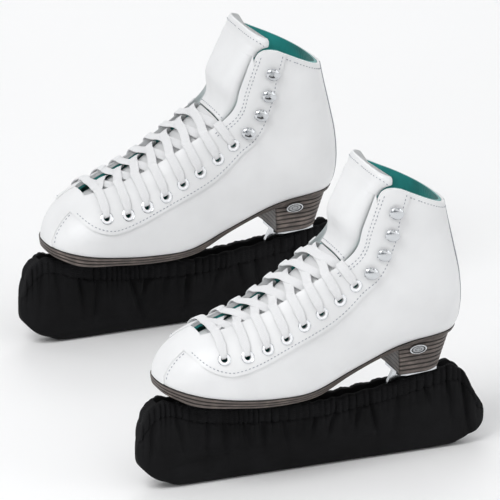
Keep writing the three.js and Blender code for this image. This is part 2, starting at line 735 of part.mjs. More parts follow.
const pieces = [
  ['upper', makeUpper(), whiteLeather],
  ['toe_plug', makeToePlug(), whiteLeather],
  ['lining', makeLining(), tealLining],
  ['outer_facing', makeFacing(-1), whiteLeather],
  ['inner_facing', makeFacing(1), whiteLeather],
  ['tongue', makeTongue(), whiteLeather],
  ['tongue_base', makeTongueBase(), whiteLeather],
  ['backstay', makeBackstay(), whiteLeather],
  ['insole', makeInsole(), insoleBoard],
  ['outsole', makeOutsole(), stackedSole],
  ['heel', makeHeel(), stackedSole],
  ['outer_badge', makeBadge(-1), badgeMetal],
  ['inner_badge', makeBadge(1), badgeMetal],
  ['lace', makeLace(), whiteLace],
  ['outer_lace_end', makeLaceEnd(-1), whiteLace],
  ['inner_lace_end', makeLaceEnd(1), whiteLace],
  ['blade', makeBlade(), chrome],
  ['sole_plate', makeSolePlate(), chrome],
  ['heel_plate', makeHeelPlate(), chrome],
  ['guard', makeGuard(), blackCloth],
  ['guard_band', makeGuardBand(), blackElastic],
];
for (let i = 0; i < hookSpots.length; i += 1) {
  pieces.push([`outer_hook_${i + 1}`, makeHook(i, -1), chrome]);
  pieces.push([`inner_hook_${i + 1}`, makeHook(i, 1), chrome]);
}

const skates = new THREE.Group();
for (const [name, side] of [['left', -1], ['right', 1]]) {
  const skate = new THREE.Group();
  skate.scale.y = -side;
  skate.position.set((side * pairStagger - guardToeX - guardHeelX) / 2, (side * pairSpread) / 2, 0);
  for (const [piece, body, material] of pieces) {
    const mesh = new THREE.Mesh(geometryOf(body), material);
    mesh.name = `${name}_${piece}`;
    skate.add(mesh);
  }
  skates.add(skate);
}

export default skates;
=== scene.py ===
"""A pair of figure skates in cloth blade covers: fine surfaces and finishes round the packed model."""
import math

import bmesh
import bpy
import numpy as np
from bpy.props import FloatProperty, FloatVectorProperty, IntProperty, PointerProperty
from mathutils import Matrix, Vector


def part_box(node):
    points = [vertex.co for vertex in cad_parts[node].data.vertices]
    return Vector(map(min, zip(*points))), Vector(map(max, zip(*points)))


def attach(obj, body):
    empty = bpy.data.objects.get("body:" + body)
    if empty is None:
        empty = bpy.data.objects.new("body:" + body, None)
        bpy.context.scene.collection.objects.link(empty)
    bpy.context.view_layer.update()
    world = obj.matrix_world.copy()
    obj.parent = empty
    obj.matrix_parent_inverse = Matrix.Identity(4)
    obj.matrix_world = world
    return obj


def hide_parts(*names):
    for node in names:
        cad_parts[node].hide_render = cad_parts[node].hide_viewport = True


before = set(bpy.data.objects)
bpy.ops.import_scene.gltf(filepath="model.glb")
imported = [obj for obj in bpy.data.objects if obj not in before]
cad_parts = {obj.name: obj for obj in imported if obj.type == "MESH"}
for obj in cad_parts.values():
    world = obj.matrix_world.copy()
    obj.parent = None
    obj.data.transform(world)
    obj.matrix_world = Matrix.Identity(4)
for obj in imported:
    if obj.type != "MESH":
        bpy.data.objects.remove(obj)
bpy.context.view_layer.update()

bl_info = {
    "name": "Figure skates in cloth blade covers",
    "version": (1, 0, 0),
    "blender": (4, 5, 0),
    "location": "View3D > Sidebar > Skates",
    "description": "Builds the surfaces and finishes of a pair of figure skates round the packed model",
    "category": "Object",
}

SIDES = (-1, 1)  # outer and inner side of a skate, in its own frame
FIT = 0.3  # clearance between pieces that touch, in mm
BEYOND = 175  # past either end of a skate, in mm


def mm(length):
    """A length from a property, which is in metres, in the millimetres that the shapes are drawn in."""
    return length * 1000


def mix(a, b, t):
    return a + t * (b - a)


def ease(t):
    """From 0 to 1, level at both ends."""
    t = np.clip(t, 0, 1)
    return t * t * (3 - 2 * t)


def catmull_rom(p0, p1, p2, p3, t):
    """From p1 at t = 0 to p2 at t = 1, as a smooth curve through all four."""
    return p1 + 0.5 * t * (p2 - p0 + t * (2 * p0 - 5 * p1 + 4 * p2 - p3 + t * (3 * (p1 - p2) + p3 - p0)))


def smooth(points, steps=8):
    """Catmull-Rom through points, with some steps between each two."""
    p = np.asarray(points, float)
    p = np.vstack([2 * p[0] - p[1], p, 2 * p[-1] - p[-2]])
    t = np.linspace(0, 1, steps, endpoint=False)[:, None]
    return np.vstack([*(catmull_rom(*four, t) for four in zip(p, p[1:], p[2:], p[3:])), p[-2:-1]])


def halved(low, high, over):
    """Where a rule turns true between low and high, found by halving. over takes an array of places."""
    for _ in range(40):
        middle = (low + high) / 2
        past = over(middle)
        high = np.where(past, middle, high)
        low = np.where(past, low, middle)
    return low


def run_along(line):
    """Length along a line of points, from 0 at its first."""
    return np.concatenate([[0], np.cumsum(np.linalg.norm(np.diff(line, axis=0), axis=1))])


# ------------------------------------------------------------------ sizes and colours


def size(name, about, default):
    """A length that the panel shows, in metres."""
    return FloatProperty(name=name, description=about, default=default, unit="LENGTH")


def tint(name, about, default):
    """A colour that the panel shows."""
    return FloatVectorProperty(name=name, description=about, subtype="COLOR", default=default)


class SkateLeather(bpy.types.PropertyGroup):
    """Leather of the boot."""

    upper: size("Upper", "Thickness of the boot's leather", 0.002)
    lining: size("Lining", "Thickness of the lining", 0.002)
    facing: size("Facing", "Thickness of a facing", 0.0013)
    tongue: size("Tongue", "Thickness of the padded tongue", 0.0034)
    waviness: size("Waviness", "Height of the soft waves in the leather", 0.0003)
    colour: tint("Leather", "Colour of the leather", (0.78, 0.785, 0.79))
    lining_colour: tint("Lining colour", "Colour of the lining cloth", (0.004, 0.25, 0.235))


class SkateStitches(bpy.types.PropertyGroup):
    """Sewn rows."""

    pitch: size("Pitch", "From one stitch to the next", 0.0034)
    length: size("Length", "Length of a stitch", 0.0022)
    width: size("Width", "Width of a stitch", 0.0009)
    seed: IntProperty(name="Seed", description="Seed of the stitches' small differences", default=4)
    colour: tint("Thread", "Colour of the thread", (0.34, 0.36, 0.4))


class SkateLace(bpy.types.PropertyGroup):
    """Laces."""

    width: size("Width", "Width of the flat lace", 0.0079)
    thickness: size("Thickness", "Thickness of the lace", 0.0013)
    colour: tint("Lace", "Colour of the lace", (0.9, 0.905, 0.915))


class SkateMetal(bpy.types.PropertyGroup):
    """Eyelets, speed hooks and blade."""

    eyelet: size("Eyelet", "Outside diameter of an eyelet", 0.0102)
    hook_width: size("Hook width", "Width of a speed hook", 0.0108)
    hook_length: size("Hook length", "Length of a speed hook", 0.0125)
    chrome: tint("Chrome", "Colour of the polished metal", (0.66, 0.68, 0.7))


class SkateSole(bpy.types.PropertyGroup):
    """Sole and heel."""

    lifts: IntProperty(name="Lifts", description="Layers in the heel", default=9, min=3, max=14)
    groove: size("Groove", "Depth between the layers of the heel", 0.0007)
    colour: tint("Edge", "Colour of the layered edges", (0.118, 0.096, 0.085))


class SkateCover(bpy.types.PropertyGroup):
    """Cloth blade covers."""

    wall: size("Wall", "Thickness of the cover's cloth", 0.0024)
    gather: size("Gather", "From one gather of the elastic hem to the next", 0.0056)
    gather_depth: size("Gather depth", "Depth of a gather", 0.0019)
    fold_depth: size("Fold depth", "Depth of the long folds", 0.0038)
    seed: IntProperty(name="Seed", description="Seed of the folds", default=11)
    colour: tint("Cloth", "Colour of the cloth", (0.005, 0.005, 0.0056))


class SkateStage(bpy.types.PropertyGroup):
    """Camera, lights and floor."""

    azimuth: FloatProperty(name="Azimuth", description="Camera's turn round the skates",
                           default=math.radians(-22), subtype="ANGLE")
    elevation: FloatProperty(name="Elevation", description="Camera's height above the horizon",
                             default=math.radians(21), subtype="ANGLE")
    distance: size("Distance", "Camera to skates", 12)
    lens: FloatProperty(name="Lens", description="Focal length, in millimetres", default=1031)
    light: FloatProperty(name="Light", description="Strength of the lights", default=1.0)
    floor: tint("Floor", "Colour of the floor", (0.9, 0.9, 0.9))


# ------------------------------------------------------------------ boot surface
# All places are in mm, in a skate's own frame: x from toe to heel, y to the inner side, z up.
# The boot is a fan of closed sections. Each row runs from the sole or back line to the front line:
# sole/back x and z, ridge x and z, half width, shift to the inner side, squareness below and above.

STATIONS = [
    (-131.5, 94, -131.5, 94, 0, 7, 2.6, 2.0),
    (-130.3, 86, -130.3, 101.5, 12, 7, 2.8, 2.0),
    (-127, 79, -127, 108.5, 21.5, 6.5, 3.2, 2.0),
    (-120, 73, -120, 117.5, 31, 5.5, 3.6, 2.0),
    (-109, 69.5, -109, 126, 38, 4, 4, 2.0),
    (-95, 67.5, -95, 133, 41.8, 2.5, 4, 2.0),
    (-78, 66, -78, 139, 43.2, 1, 4, 2.0),
    (-50, 62, -62, 145.5, 43, 0, 4, 2.1),
    (-22, 61, -45, 153.5, 40.5, 0, 3.8, 2.3),
    (4, 65, -29, 164, 38, 0, 3.5, 2.6),
    (30, 76, -12, 175, 36.5, 0, 3.2, 3.0),
    (58, 88, 4, 186, 36.5, 0, 3, 3.3),
    (88, 95, 14.5, 195, 37, 0, 2.9, 3.4),
    (114, 98, 21, 203.5, 37.5, 0, 2.7, 3.5),
    (128, 110, 25, 211, 37.5, 0, 2.5, 3.7),
    (132.8, 129, 28, 220.5, 37.5, 0, 2.4, 3.9),
    (131.6, 154, 34, 231.5, 38, 0, 2.3, 4.1),
    (126.5, 179, 39, 240, 38, 0, 2.3, 4.4),
    (121, 203, 44, 248.5, 38.5, 0, 2.3, 4.5),
    (117, 222, 48.6, 255.2, 39, 0, 2.3, 4.5),
    (110.5, 253, 58, 279, 40, 0, 2.3, 4.5),
]
LAST = len(STATIONS) - 1


def station_rows():
    """The stations with a mirrored one in front of the toe tip and one more past the top."""
    rows = np.array(STATIONS, float)
    mirrored = rows[1].copy()
    mirrored[[1, 3, 4]] = rows[1][3], rows[1][1], -rows[1][4]
    return np.vstack([mirrored, rows, 2 * rows[-1] - rows[-2]])


ROWS = station_rows()


def section(s):
    """Catmull-Rom between the stations."""
    s = np.asarray(s, float)
    i = np.clip(np.floor(s).astype(int), 0, LAST - 1)
    t = (s - i)[..., None]
    return catmull_rom(*(ROWS[i + k] for k in range(4)), t)


def skin_point(s, psi):
    """Place on the boot: psi is 0 on the ridge, negative to the outer side, pi under the sole."""
    s, psi = np.broadcast_arrays(np.asarray(s, float), np.asarray(psi, float))
    bx, bz, tx, tz, half, shift, lower, upper = np.moveaxis(section(s), -1, 0)
    theta = np.pi - np.abs(psi)
    power = 2 / np.where(theta < np.pi / 2, lower, upper)
    cosine = np.cos(theta)
    along = 0.5 - 0.5 * np.sign(cosine) * np.abs(cosine) ** power
    across = np.maximum(half, 0) * np.sign(psi) * np.abs(np.sin(theta)) ** power
    return np.stack([bx + along * (tx - bx), shift + across, bz + along * (tz - bz)], -1)


def skin_normal(s, psi):
    """Which way the skin faces, outwards."""
    step = 0.05
    s, psi = np.broadcast_arrays(np.asarray(s, float), np.asarray(psi, float))
    across = skin_point(s, psi + step) - skin_point(s, psi - step)
    forward = skin_point(np.minimum(s + step, LAST), psi) - skin_point(np.maximum(s - step, 0), psi)
    normal = np.cross(forward, across)
    length = np.linalg.norm(normal, axis=-1, keepdims=True)
    normal = normal / np.maximum(length, 1e-9)
    return np.where((s < 0.02)[..., None] | (length < 1e-9), (-1.0, 0.0, 0.0), normal)


def skin(s, psi, offset):
    """A place some offset outside the boot's surface."""
    return skin_point(s, psi) + np.asarray(offset)[..., None] * skin_normal(s, psi)


def place_on_side(x, z, side):
    """Surface place (s, psi) of spots given in side view."""
    x, z = np.asarray(x, float), np.asarray(z, float)

    def past(s):
        bx, bz, tx, tz = np.moveaxis(section(s)[..., :4], -1, 0)
        return (tx - bx) * (z - bz) - (tz - bz) * (x - bx) > 0

    first = 2.0  # station in front of which no spot lies
    s = halved(np.full(x.shape, first), np.full(x.shape, float(LAST)), past)
    bx, bz, tx, tz, _, _, lower, upper = np.moveaxis(section(s), -1, 0)
    along = ((x - bx) * (tx - bx) + (z - bz) * (tz - bz)) / ((tx - bx) ** 2 + (tz - bz) ** 2)
    level = 1 - 2 * along
    power = np.where(level > 0, lower, upper) / 2
    cosine = np.sign(level) * np.minimum(np.abs(level), 1) ** power
    return s, side * (np.pi - np.arccos(cosine))


# Lace opening: x, half width and middle.
THROAT = np.array([
    (-99, 11.5, 3), (-96, 13.5, 2.7), (-75, 18, 1), (-45, 22, 0), (-14, 26.5, 0), (13, 30, 0), (30, 32, 0),
    (54, 34, 0), (76, 34, 0),
])
THROAT_START = THROAT[0, 0]


def throat_half(x):
    return np.interp(x, THROAT[:, 0], THROAT[:, 1])


def throat_middle(x):
    return np.interp(x, THROAT[:, 0], THROAT[:, 2])


def edge_psi(s, widen=0.0):
    """Angle at which the lace opening's edge, moved out by widen, lies on section s."""
    s = np.asarray(s, float)

    def past(psi):
        x, y, _ = np.moveaxis(skin_point(s, psi), -1, 0)
        return y - throat_middle(x) > throat_half(x) + widen

    return halved(np.full(s.shape, 0.02), np.full(s.shape, 1.75), past)


def inset_psi(s, distance):
    """Angle at which the skin lies some distance back of the lace opening's edge, along the leather."""
    turn = np.linspace(0, 0.9, 120)[None]
    psi = edge_psi(s)[:, None] + turn
    points = skin_point(s[:, None] + 0 * psi, psi)
    run = np.linalg.norm(np.diff(points, axis=1), axis=2).cumsum(1)
    return np.array([np.interp(distance, [0, *row], angles) for row, angles in zip(run, psi)])


SOLE_TOP = smooth([
    (-BEYOND, 96), (-131, 91.6), (-100, 86), (-72, 81.7), (-42, 78.6), (-19, 77.4), (-2, 80), (23, 89),
    (46, 97.4), (63, 103.8), (80, 108), (99, 110.3), (118, 110.8), (BEYOND, 110.8),
])
SOLE_BOTTOM = smooth([
    (-BEYOND, 90), (-131, 83.4), (-113, 78.2), (-86, 75.4), (-57, 72.4), (-26, 70.7), (-6, 71.8), (6.5, 76.3),
    (23.5, 84.6), (39.5, 91), (54.5, 96.3), (70, 101.3), (85, 105), (100, 107), (118, 107.6), (BEYOND, 107.6),
])
COLLAR_FRONT = (54, 253.5)
COLLAR_BACK = (117, 222)
COLLAR_SLOPE = (COLLAR_BACK[1] - COLLAR_FRONT[1]) / (COLLAR_BACK[0] - COLLAR_FRONT[0])
FACING_EDGE = smooth([
    (-118, 124), (-113.8, 120.5), (-104.6, 112), (-94, 107), (-81, 105), (-63.7, 108.5), (-46, 114.2),
    (-28, 120.7), (-9.5, 127.5), (8.4, 135.8), (22.5, 145.8), (36, 158.5), (48.5, 167.5), (57, 180),
    (61.5, 191), (66, 205), (68.5, 219), (76, 249),
])
EYELETS = np.array([
    (-88.5, 117.8), (-69.5, 118.8), (-51.8, 123.2), (-34.2, 129.4), (-18.1, 138.1), (-2.2, 146.4), (14, 156),
    (27.9, 166.8),
])
HOOKS = np.array([(41, 176.8), (52.2, 191.8), (59, 208.6), (62.5, 227.8)])


COLLAR_CORNER = smooth([(47.2, 236), (48.6, 241), (51.5, 245.3), (56, 247.6), (61.5, 247.9), (68, 246.5)], 6)
COLLAR = np.vstack([
    [(-BEYOND, 262), (46.6, 262)], COLLAR_CORNER,
    [(BEYOND, COLLAR_FRONT[1] + COLLAR_SLOPE * (BEYOND - COLLAR_FRONT[0]))],
])


def collar_z(x):
    """Height of the collar's edge in side view, with its front corner rounded."""
    return np.interp(x, COLLAR[:, 0], COLLAR[:, 1])


# ------------------------------------------------------------------ meshes


def mesh_of(name, vertices, faces, uv=None):
    """A mesh whose faces point outwards. uv holds one pair for each vertex."""
    mesh = bpy.data.meshes.new(name)
    mesh.from_pydata([tuple(v) for v in np.asarray(vertices, float)], [], [tuple(f) for f in faces])
    if uv is not None:
        layer = mesh.uv_layers.new(name="UVMap")
        index = np.empty(len(mesh.loops), int)
        mesh.loops.foreach_get("vertex_index", index)
        layer.data.foreach_set("uv", np.asarray(uv, float)[index].ravel())
    work = bmesh.new()
    work.from_mesh(mesh)
    bmesh.ops.recalc_face_normals(work, faces=work.faces)
    if work.calc_volume(signed=True) < 0:
        bmesh.ops.reverse_faces(work, faces=work.faces)
    work.to_mesh(mesh)
    work.free()
    return mesh


def ring_mesh(name, rings, uv=None, capped=True):
    """A closed skin over rings of points, closed at both ends by a fan over the ring's middle."""
    rings = np.asarray(rings, float)
    count, around = rings.shape[:2]
    points = [rings.reshape(-1, 3)]
    a = np.arange(count - 1)[:, None] * around + np.arange(around)[None]
    b = np.arange(count - 1)[:, None] * around + (np.arange(around)[None] + 1) % around
    faces = np.stack([a, b, b + around, a + around], -1).reshape(-1, 4).tolist()
    coordinates = None if uv is None else [np.asarray(uv, float).reshape(-1, 2)]
    if capped:
        for row, start in ((0, 0), (count - 1, (count - 1) * around)):
            middle = count * around + (row > 0)
            points.append(rings[row].mean(0)[None])
            if uv is not None:
                coordinates.append(np.asarray(uv, float).reshape(count, around, 2)[row].mean(0)[None])
            faces += [(start + k, start + (k + 1) % around, middle) for k in range(around)]
    return mesh_of(name, np.vstack(points), faces, None if uv is None else np.vstack(coordinates))


def slab(name, near, far):
    """A prism between two outlines with as many points."""
    count = len(near)
    faces = [tuple(range(count)), tuple(range(2 * count - 1, count - 1, -1))]
    faces += [(k, (k + 1) % count, (k + 1) % count + count, k + count) for k in range(count)]
    return mesh_of(name, [*near, *far], faces)


def side_slab(outline, y_low=-80, y_high=80):
    """An outline in side view, carried across."""
    return slab("side slab", [(x, y_low, z) for x, z in outline], [(x, y_high, z) for x, z in outline])


def plan_slab(outline, z_low, z_high):
    """An outline in plan, carried up."""
    return slab("plan slab", [(x, y, z_low) for x, y in outline], [(x, y, z_high) for x, y in outline])


def above(line, by=0.0):
    """All that lies over a line in side view."""
    line = np.asarray(line, float) + (0, by)
    return side_slab([*line, (line[-1][0], 330), (line[0][0], 330)])


def below(line, by=0.0):
    """All that lies under a line in side view."""
    line = np.asarray(line, float) + (0, by)
    return side_slab([(line[0][0], -30), (line[-1][0], -30), *line[::-1]])


def combined(mesh, operation, tool):
    """A mesh with a tool taken away (DIFFERENCE), kept in common (INTERSECT) or joined on (UNION)."""
    pair = []
    for data in (mesh, tool):
        thing = bpy.data.objects.new("work", data)
        bpy.context.scene.collection.objects.link(thing)
        pair.append(thing)
    step = pair[0].modifiers.new("cut", "BOOLEAN")
    step.operation = operation
    step.solver = "MANIFOLD"
    step.object = pair[1]
    result = bpy.data.meshes.new_from_object(pair[0].evaluated_get(bpy.context.evaluated_depsgraph_get()))
    for thing in pair:
        bpy.data.objects.remove(thing)
    if not result.polygons:
        raise RuntimeError(f"nothing is left of {mesh.name} after {operation.lower()}")
    return result


def kept(mesh, *tools):
    """What of a mesh lies inside every tool."""
    for tool in tools:
        mesh = combined(mesh, "INTERSECT", tool)
    return mesh


def less(mesh, *tools):
    """A mesh with every tool cut away."""
    for tool in tools:
        mesh = combined(mesh, "DIFFERENCE", tool)
    return mesh


def together(meshes):
    """Several meshes in one, as they are."""
    work = bmesh.new()
    for mesh in meshes:
        work.from_mesh(mesh)
    joined = bpy.data.meshes.new(meshes[0].name)
    work.to_mesh(joined)
    work.free()
    return joined


def counted(mesh, rule):
    """Writes a number to every vertex as the attribute `layer`, by a rule of its x, y and z."""
    places = np.empty(3 * len(mesh.vertices))
    mesh.vertices.foreach_get("co", places)
    layer = mesh.attributes.new("layer", "FLOAT", "POINT")
    layer.data.foreach_set("value", rule(*places.reshape(-1, 3).T))


def boot_body(offset, around=112, step=0.11):
    """The boot's solid, moved out by offset, which is a number or a function of s, psi and the place."""
    s = np.concatenate([[0.03, 0.08, 0.16, 0.27, 0.4], np.arange(0.55, LAST, step), [LAST]])
    psi = np.pi - 2 * np.pi * (np.arange(around) + 0.5) / around
    s, psi = np.meshgrid(s, psi, indexing="ij")
    amount = offset(s, psi, skin_point(s, psi)) if callable(offset) else np.full(s.shape, float(offset))
    return ring_mesh("boot", skin(s, psi, amount))


def throat_tool(widen=0.0, start=THROAT_START, end=76):
    """The lace opening as a solid above the boot's depth."""
    x = np.concatenate([[start], THROAT[(THROAT[:, 0] > start) & (THROAT[:, 0] < end), 0], [end]])
    x = np.interp(np.linspace(0, len(x) - 1, 60), np.arange(len(x)), x)
    near = np.stack([x, throat_middle(x) - throat_half(x) - widen], 1)
    far = np.stack([x, throat_middle(x) + throat_half(x) + widen], 1)[::-1]
    depth = smooth([
        (-112, 105), (-78, 117), (-45, 130), (-15, 145), (10, 165), (30, 190), (45, 215), (78, 236),
    ])
    return kept(plan_slab([*near, *far], 90, 320), above([(-BEYOND, 105), *depth]))


def softened(mesh, angle=38):
    """Smooth shading, with a crease where two faces meet at more than the angle, in degrees."""
    mesh.polygons.foreach_set("use_smooth", np.ones(len(mesh.polygons), bool))
    mesh.set_sharp_from_angle(angle=math.radians(angle))
    return mesh


# ------------------------------------------------------------------ the pair


class Skate:
    """One skate of the pair, and the way from its own frame, in millimetres, to the row frame."""

    def __init__(self, name, mirrored):
        low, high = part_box(f"{name}_guard")
        self.name = name
        self.mirrored = mirrored
        toe_reach = 0.1536
        across = -0.001 if mirrored else 0.001
        self.to_row = Matrix.Translation((low[0] + toe_reach, (low[1] + high[1]) / 2, 0))
        self.to_row @= Matrix.Diagonal((0.001, across, 0.001, 1))


PAIR = (Skate("left", False), Skate("right", True))
BOOT = "{}_skate"
TONGUE = "{}_tongue"
COVER = "guards"


def install(mesh, name, body, materials, nodes=()):
    """Sets a piece drawn in a skate's own frame on both. materials is one, or as many as its faces use."""
    materials = materials if isinstance(materials, (list, tuple)) else [materials]
    for skate in PAIR:
        copy = mesh.copy()
        copy.transform(skate.to_row)
        if skate.mirrored:
            copy.flip_normals()
        copy.materials.clear()
        for material in materials:
            copy.materials.append(material)
        piece = bpy.data.objects.new(f"{skate.name}_{name}", copy)
        bpy.context.scene.collection.objects.link(piece)
        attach(piece, body.format(skate.name))
        if nodes:
            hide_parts(*[f"{skate.name}_{node}" for node in nodes])


def dress(node, material):
    """A new finish for a packed node of both skates, whose shape stays."""
    for skate in PAIR:
        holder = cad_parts[f"{skate.name}_{node}"]
        holder.data.materials.clear()
        holder.data.materials.append(material)


# ------------------------------------------------------------------ finishes


def add_node(tree, kind, inputs=None, **settings):
    """A node with its settings, and its inputs linked or filled in."""
    made = tree.nodes.new(kind)
    for key, value in settings.items():
        setattr(made, key, value)
    for socket, value in (inputs or {}).items():
        if isinstance(value, bpy.types.NodeSocket):
            tree.links.new(value, made.inputs[socket])
        else:
            made.inputs[socket].default_value = value
    return made


class Finish:
    """A material under construction: a principled shader and the nodes that feed it."""

    def __init__(self, name, colour, roughness, **constants):
        self.material = bpy.data.materials.new(name)
        self.material.use_nodes = True
        self.tree = self.material.node_tree
        self.shader = self.tree.nodes["Principled BSDF"]
        self.shader.inputs["Base Color"].default_value = (*colour, 1)
        self.shader.inputs["Roughness"].default_value = roughness
        for socket, value in constants.items():
            self.shader.inputs[socket.replace("_", " ")].default_value = value

    def node(self, kind, inputs=None, **settings):
        return add_node(self.tree, kind, inputs, **settings)

    def feed(self, socket, output):
        self.tree.links.new(output, self.shader.inputs[socket])

    def place(self, scale=(1, 1, 1), source="Object"):
        """Coordinates in the object's own frame, or its UV map, scaled."""
        start = self.node("ShaderNodeTexCoord").outputs[source]
        return self.node("ShaderNodeMapping", {"Vector": start, "Scale": scale}).outputs["Vector"]

    def noise(self, at, scale, detail=3.0, roughness=0.5):
        return self.node("ShaderNodeTexNoise", {"Vector": at, "Scale": scale, "Detail": detail,
                                                "Roughness": roughness}).outputs["Fac"]

    def cells(self, at, scale):
        return self.node("ShaderNodeTexVoronoi", {"Vector": at, "Scale": scale},
                         feature="DISTANCE_TO_EDGE").outputs["Distance"]

    def wave(self, at, scale, distortion=0.0, direction="X"):
        return self.node("ShaderNodeTexWave", {"Vector": at, "Scale": scale, "Distortion": distortion},
                         bands_direction=direction, wave_profile="SIN").outputs["Fac"]

    def ramp(self, factor, *stops):
        """A colour or grey ramp through stops of (place, colour)."""
        made = self.node("ShaderNodeValToRGB", {"Fac": factor})
        elements = made.color_ramp.elements
        while len(elements) < len(stops):
            elements.new(0.5)
        for element, (position, colour) in zip(elements, stops):
            element.position = position
            element.color = (*colour, 1) if hasattr(colour, "__len__") else (colour, colour, colour, 1)
        return made.outputs["Color"]

    def sums(self, operation, a, b):
        return self.node("ShaderNodeMath", {0: a, 1: b}, operation=operation).outputs[0]

    def bump(self, height, distance, strength=1.0, under=None):
        """Distance is in metres."""
        inputs = {"Height": height, "Distance": distance, "Strength": strength}
        if under is not None:
            inputs["Normal"] = under
        return self.node("ShaderNodeBump", inputs).outputs["Normal"]


def shade(colour, amount):
    return tuple(min(max(c * amount, 0), 1) for c in colour)


def leather_finish(name, colour, grain=1.0):
    """Coated white leather: fine pebbled grain, broad faint tone, soft gloss."""
    f = Finish(name, colour, 0.42, Specular_IOR_Level=0.45, Coat_Weight=0.12, Coat_Roughness=0.3)
    at = f.place()
    tone = f.noise(at, 22, 4.0)
    f.feed("Base Color", f.ramp(tone, (0.3, shade(colour, 0.955)), (0.62, shade(colour, 1.03))))
    f.feed("Roughness", f.ramp(f.noise(at, 70, 3.0), (0.3, 0.36), (0.7, 0.5)))
    pebble = f.bump(f.cells(at, 900), 0.00012 * grain, 0.5)
    f.feed("Normal", f.bump(f.noise(at, 160, 4.0), 0.00025 * grain, 0.4, pebble))
    return f.material


def lining_finish(colour):
    """Brushed knit lining in teal."""
    f = Finish("teal_lining", colour, 0.85, Sheen_Weight=0.35, Sheen_Roughness=0.5)
    at = f.place()
    knit = f.sums("MULTIPLY", f.wave(at, 420, 1.5, "X"), f.wave(at, 420, 1.5, "Z"))
    f.feed("Base Color", f.ramp(f.noise(at, 60, 4.0), (0.3, shade(colour, 0.75)), (0.7, shade(colour, 1.25))))
    f.feed("Normal", f.bump(knit, 0.0003, 0.6))
    return f.material


def lace_finish(colour):
    """Flat cotton braid: herringbone ribs that follow the lace, with painted shade darkening the grooves
    between them.
    """
    f = Finish("cotton_lace", colour, 0.8, Sheen_Weight=0.15)
    at = f.place((1, 1, 1), "UV")
    slant = math.radians(38)
    left, right = (f.node("ShaderNodeMapping", {"Vector": at, "Rotation": (0, 0, turn)}).outputs["Vector"]
                   for turn in (slant, -slant))
    weave = f.sums("MULTIPLY", f.wave(left, 0.32), f.wave(right, 0.32))
    # painted shade: the base colour darkens in the low grooves of the weave
    f.feed("Base Color", f.ramp(weave, (0.0, shade(colour, 0.82)), (0.45, shade(colour, 1.0))))
    f.feed("Normal", f.bump(weave, 0.0005, 0.7))
    return f.material


def chrome_finish(name, colour, roughness=0.12):
    """Polished plated steel with faint wear."""
    f = Finish(name, colour, roughness, Metallic=1.0)
    wear = f.noise(f.place(), 16, 1.0)
    f.feed("Roughness", f.ramp(wear, (0.35, roughness * 0.85), (0.7, roughness * 1.3)))
    return f.material


def badge_finish(colour):
    """Satin silver: bright at the rim, blackened in the channel, with an aged field."""
    f = Finish("badge_metal", colour, 0.32, Metallic=1.0)
    radius = f.node("ShaderNodeAttribute", attribute_name="layer").outputs["Fac"]
    ring = f.ramp(radius, (0.0, 0.62), (0.3, 0.5), (0.34, 0.2), (0.4, 0.2), (0.44, 0.62), (0.66, 0.45),
                  (0.74, 0.06), (0.82, 0.06), (0.87, 1.0))
    aged = f.ramp(f.noise(f.place(), 700, 3.0), (0.35, shade(colour, 0.7)), (0.65, colour))
    f.feed("Base Color", f.node("ShaderNodeVectorMath", {0: aged, 1: ring}, operation="MULTIPLY").outputs[0])
    f.feed("Roughness", f.ramp(f.noise(f.place(), 400, 3.0), (0.3, 0.24), (0.7, 0.42)))
    f.feed("Normal", f.bump(ring, 0.0003, 0.5))
    return f.material


def layered_finish(colour):
    """Edges of stacked leather lifts: grey brown bands, with painted shade darkening the grooves where two
    lifts meet, so the ridges read paler.
    """
    f = Finish("stacked_sole", colour, 0.45, Specular_IOR_Level=0.45)
    layer = f.node("ShaderNodeAttribute", attribute_name="layer").outputs["Fac"]
    share = f.sums("FRACT", layer, 0.0)
    at = f.place()
    streaks = f.noise(f.place((90, 90, 1400)), 1.0, 5.0, 0.65)
    spots = f.noise(at, 110, 4.0)
    both = f.sums("ADD", f.sums("MULTIPLY", streaks, 0.55), f.sums("MULTIPLY", spots, 0.45))
    tone = f.ramp(both, (0.34, shade(colour, 0.5)), (0.52, colour), (0.68, shade(colour, 2.2)))
    # painted shade: the colour darkens towards the joints between lifts, where the grooves are
    joint = f.ramp(share, (0.0, 0.1), (0.1, 0.35), (0.3, 1.0), (0.7, 1.0), (0.9, 0.35), (1.0, 0.1))
    f.feed("Base Color", f.node("ShaderNodeVectorMath", {0: tone, 1: joint}, operation="MULTIPLY").outputs[0])
    f.feed("Roughness", f.ramp(spots, (0.3, 0.36), (0.7, 0.56)))
    f.feed("Normal", f.bump(f.sums("ADD", streaks, joint), 0.0005, 0.6))
    return f.material


def breast_finish():
    """Smooth grey sole leather, between and under the edges."""
    f = Finish("sole_leather", (0.2, 0.19, 0.21), 0.5)
    at = f.place()
    f.feed("Base Color", f.ramp(f.noise(at, 60, 5.0), (0.3, (0.13, 0.12, 0.14)), (0.7, (0.26, 0.25, 0.28))))
    f.feed("Normal", f.bump(f.noise(at, 300, 4.0), 0.0002, 0.5))
    return f.material


def board_finish():
    """Pale insole board with a cloth face."""
    f = Finish("insole_board", (0.55, 0.46, 0.34), 0.85)
    at = f.place()
    f.feed("Base Color", f.ramp(f.noise(at, 200, 4.0), (0.3, (0.47, 0.38, 0.27)), (0.7, (0.62, 0.53, 0.4))))
    f.feed("Normal", f.bump(f.sums("MULTIPLY", f.wave(at, 300), f.wave(at, 300, 0, "Y")), 0.0002, 0.5))
    return f.material


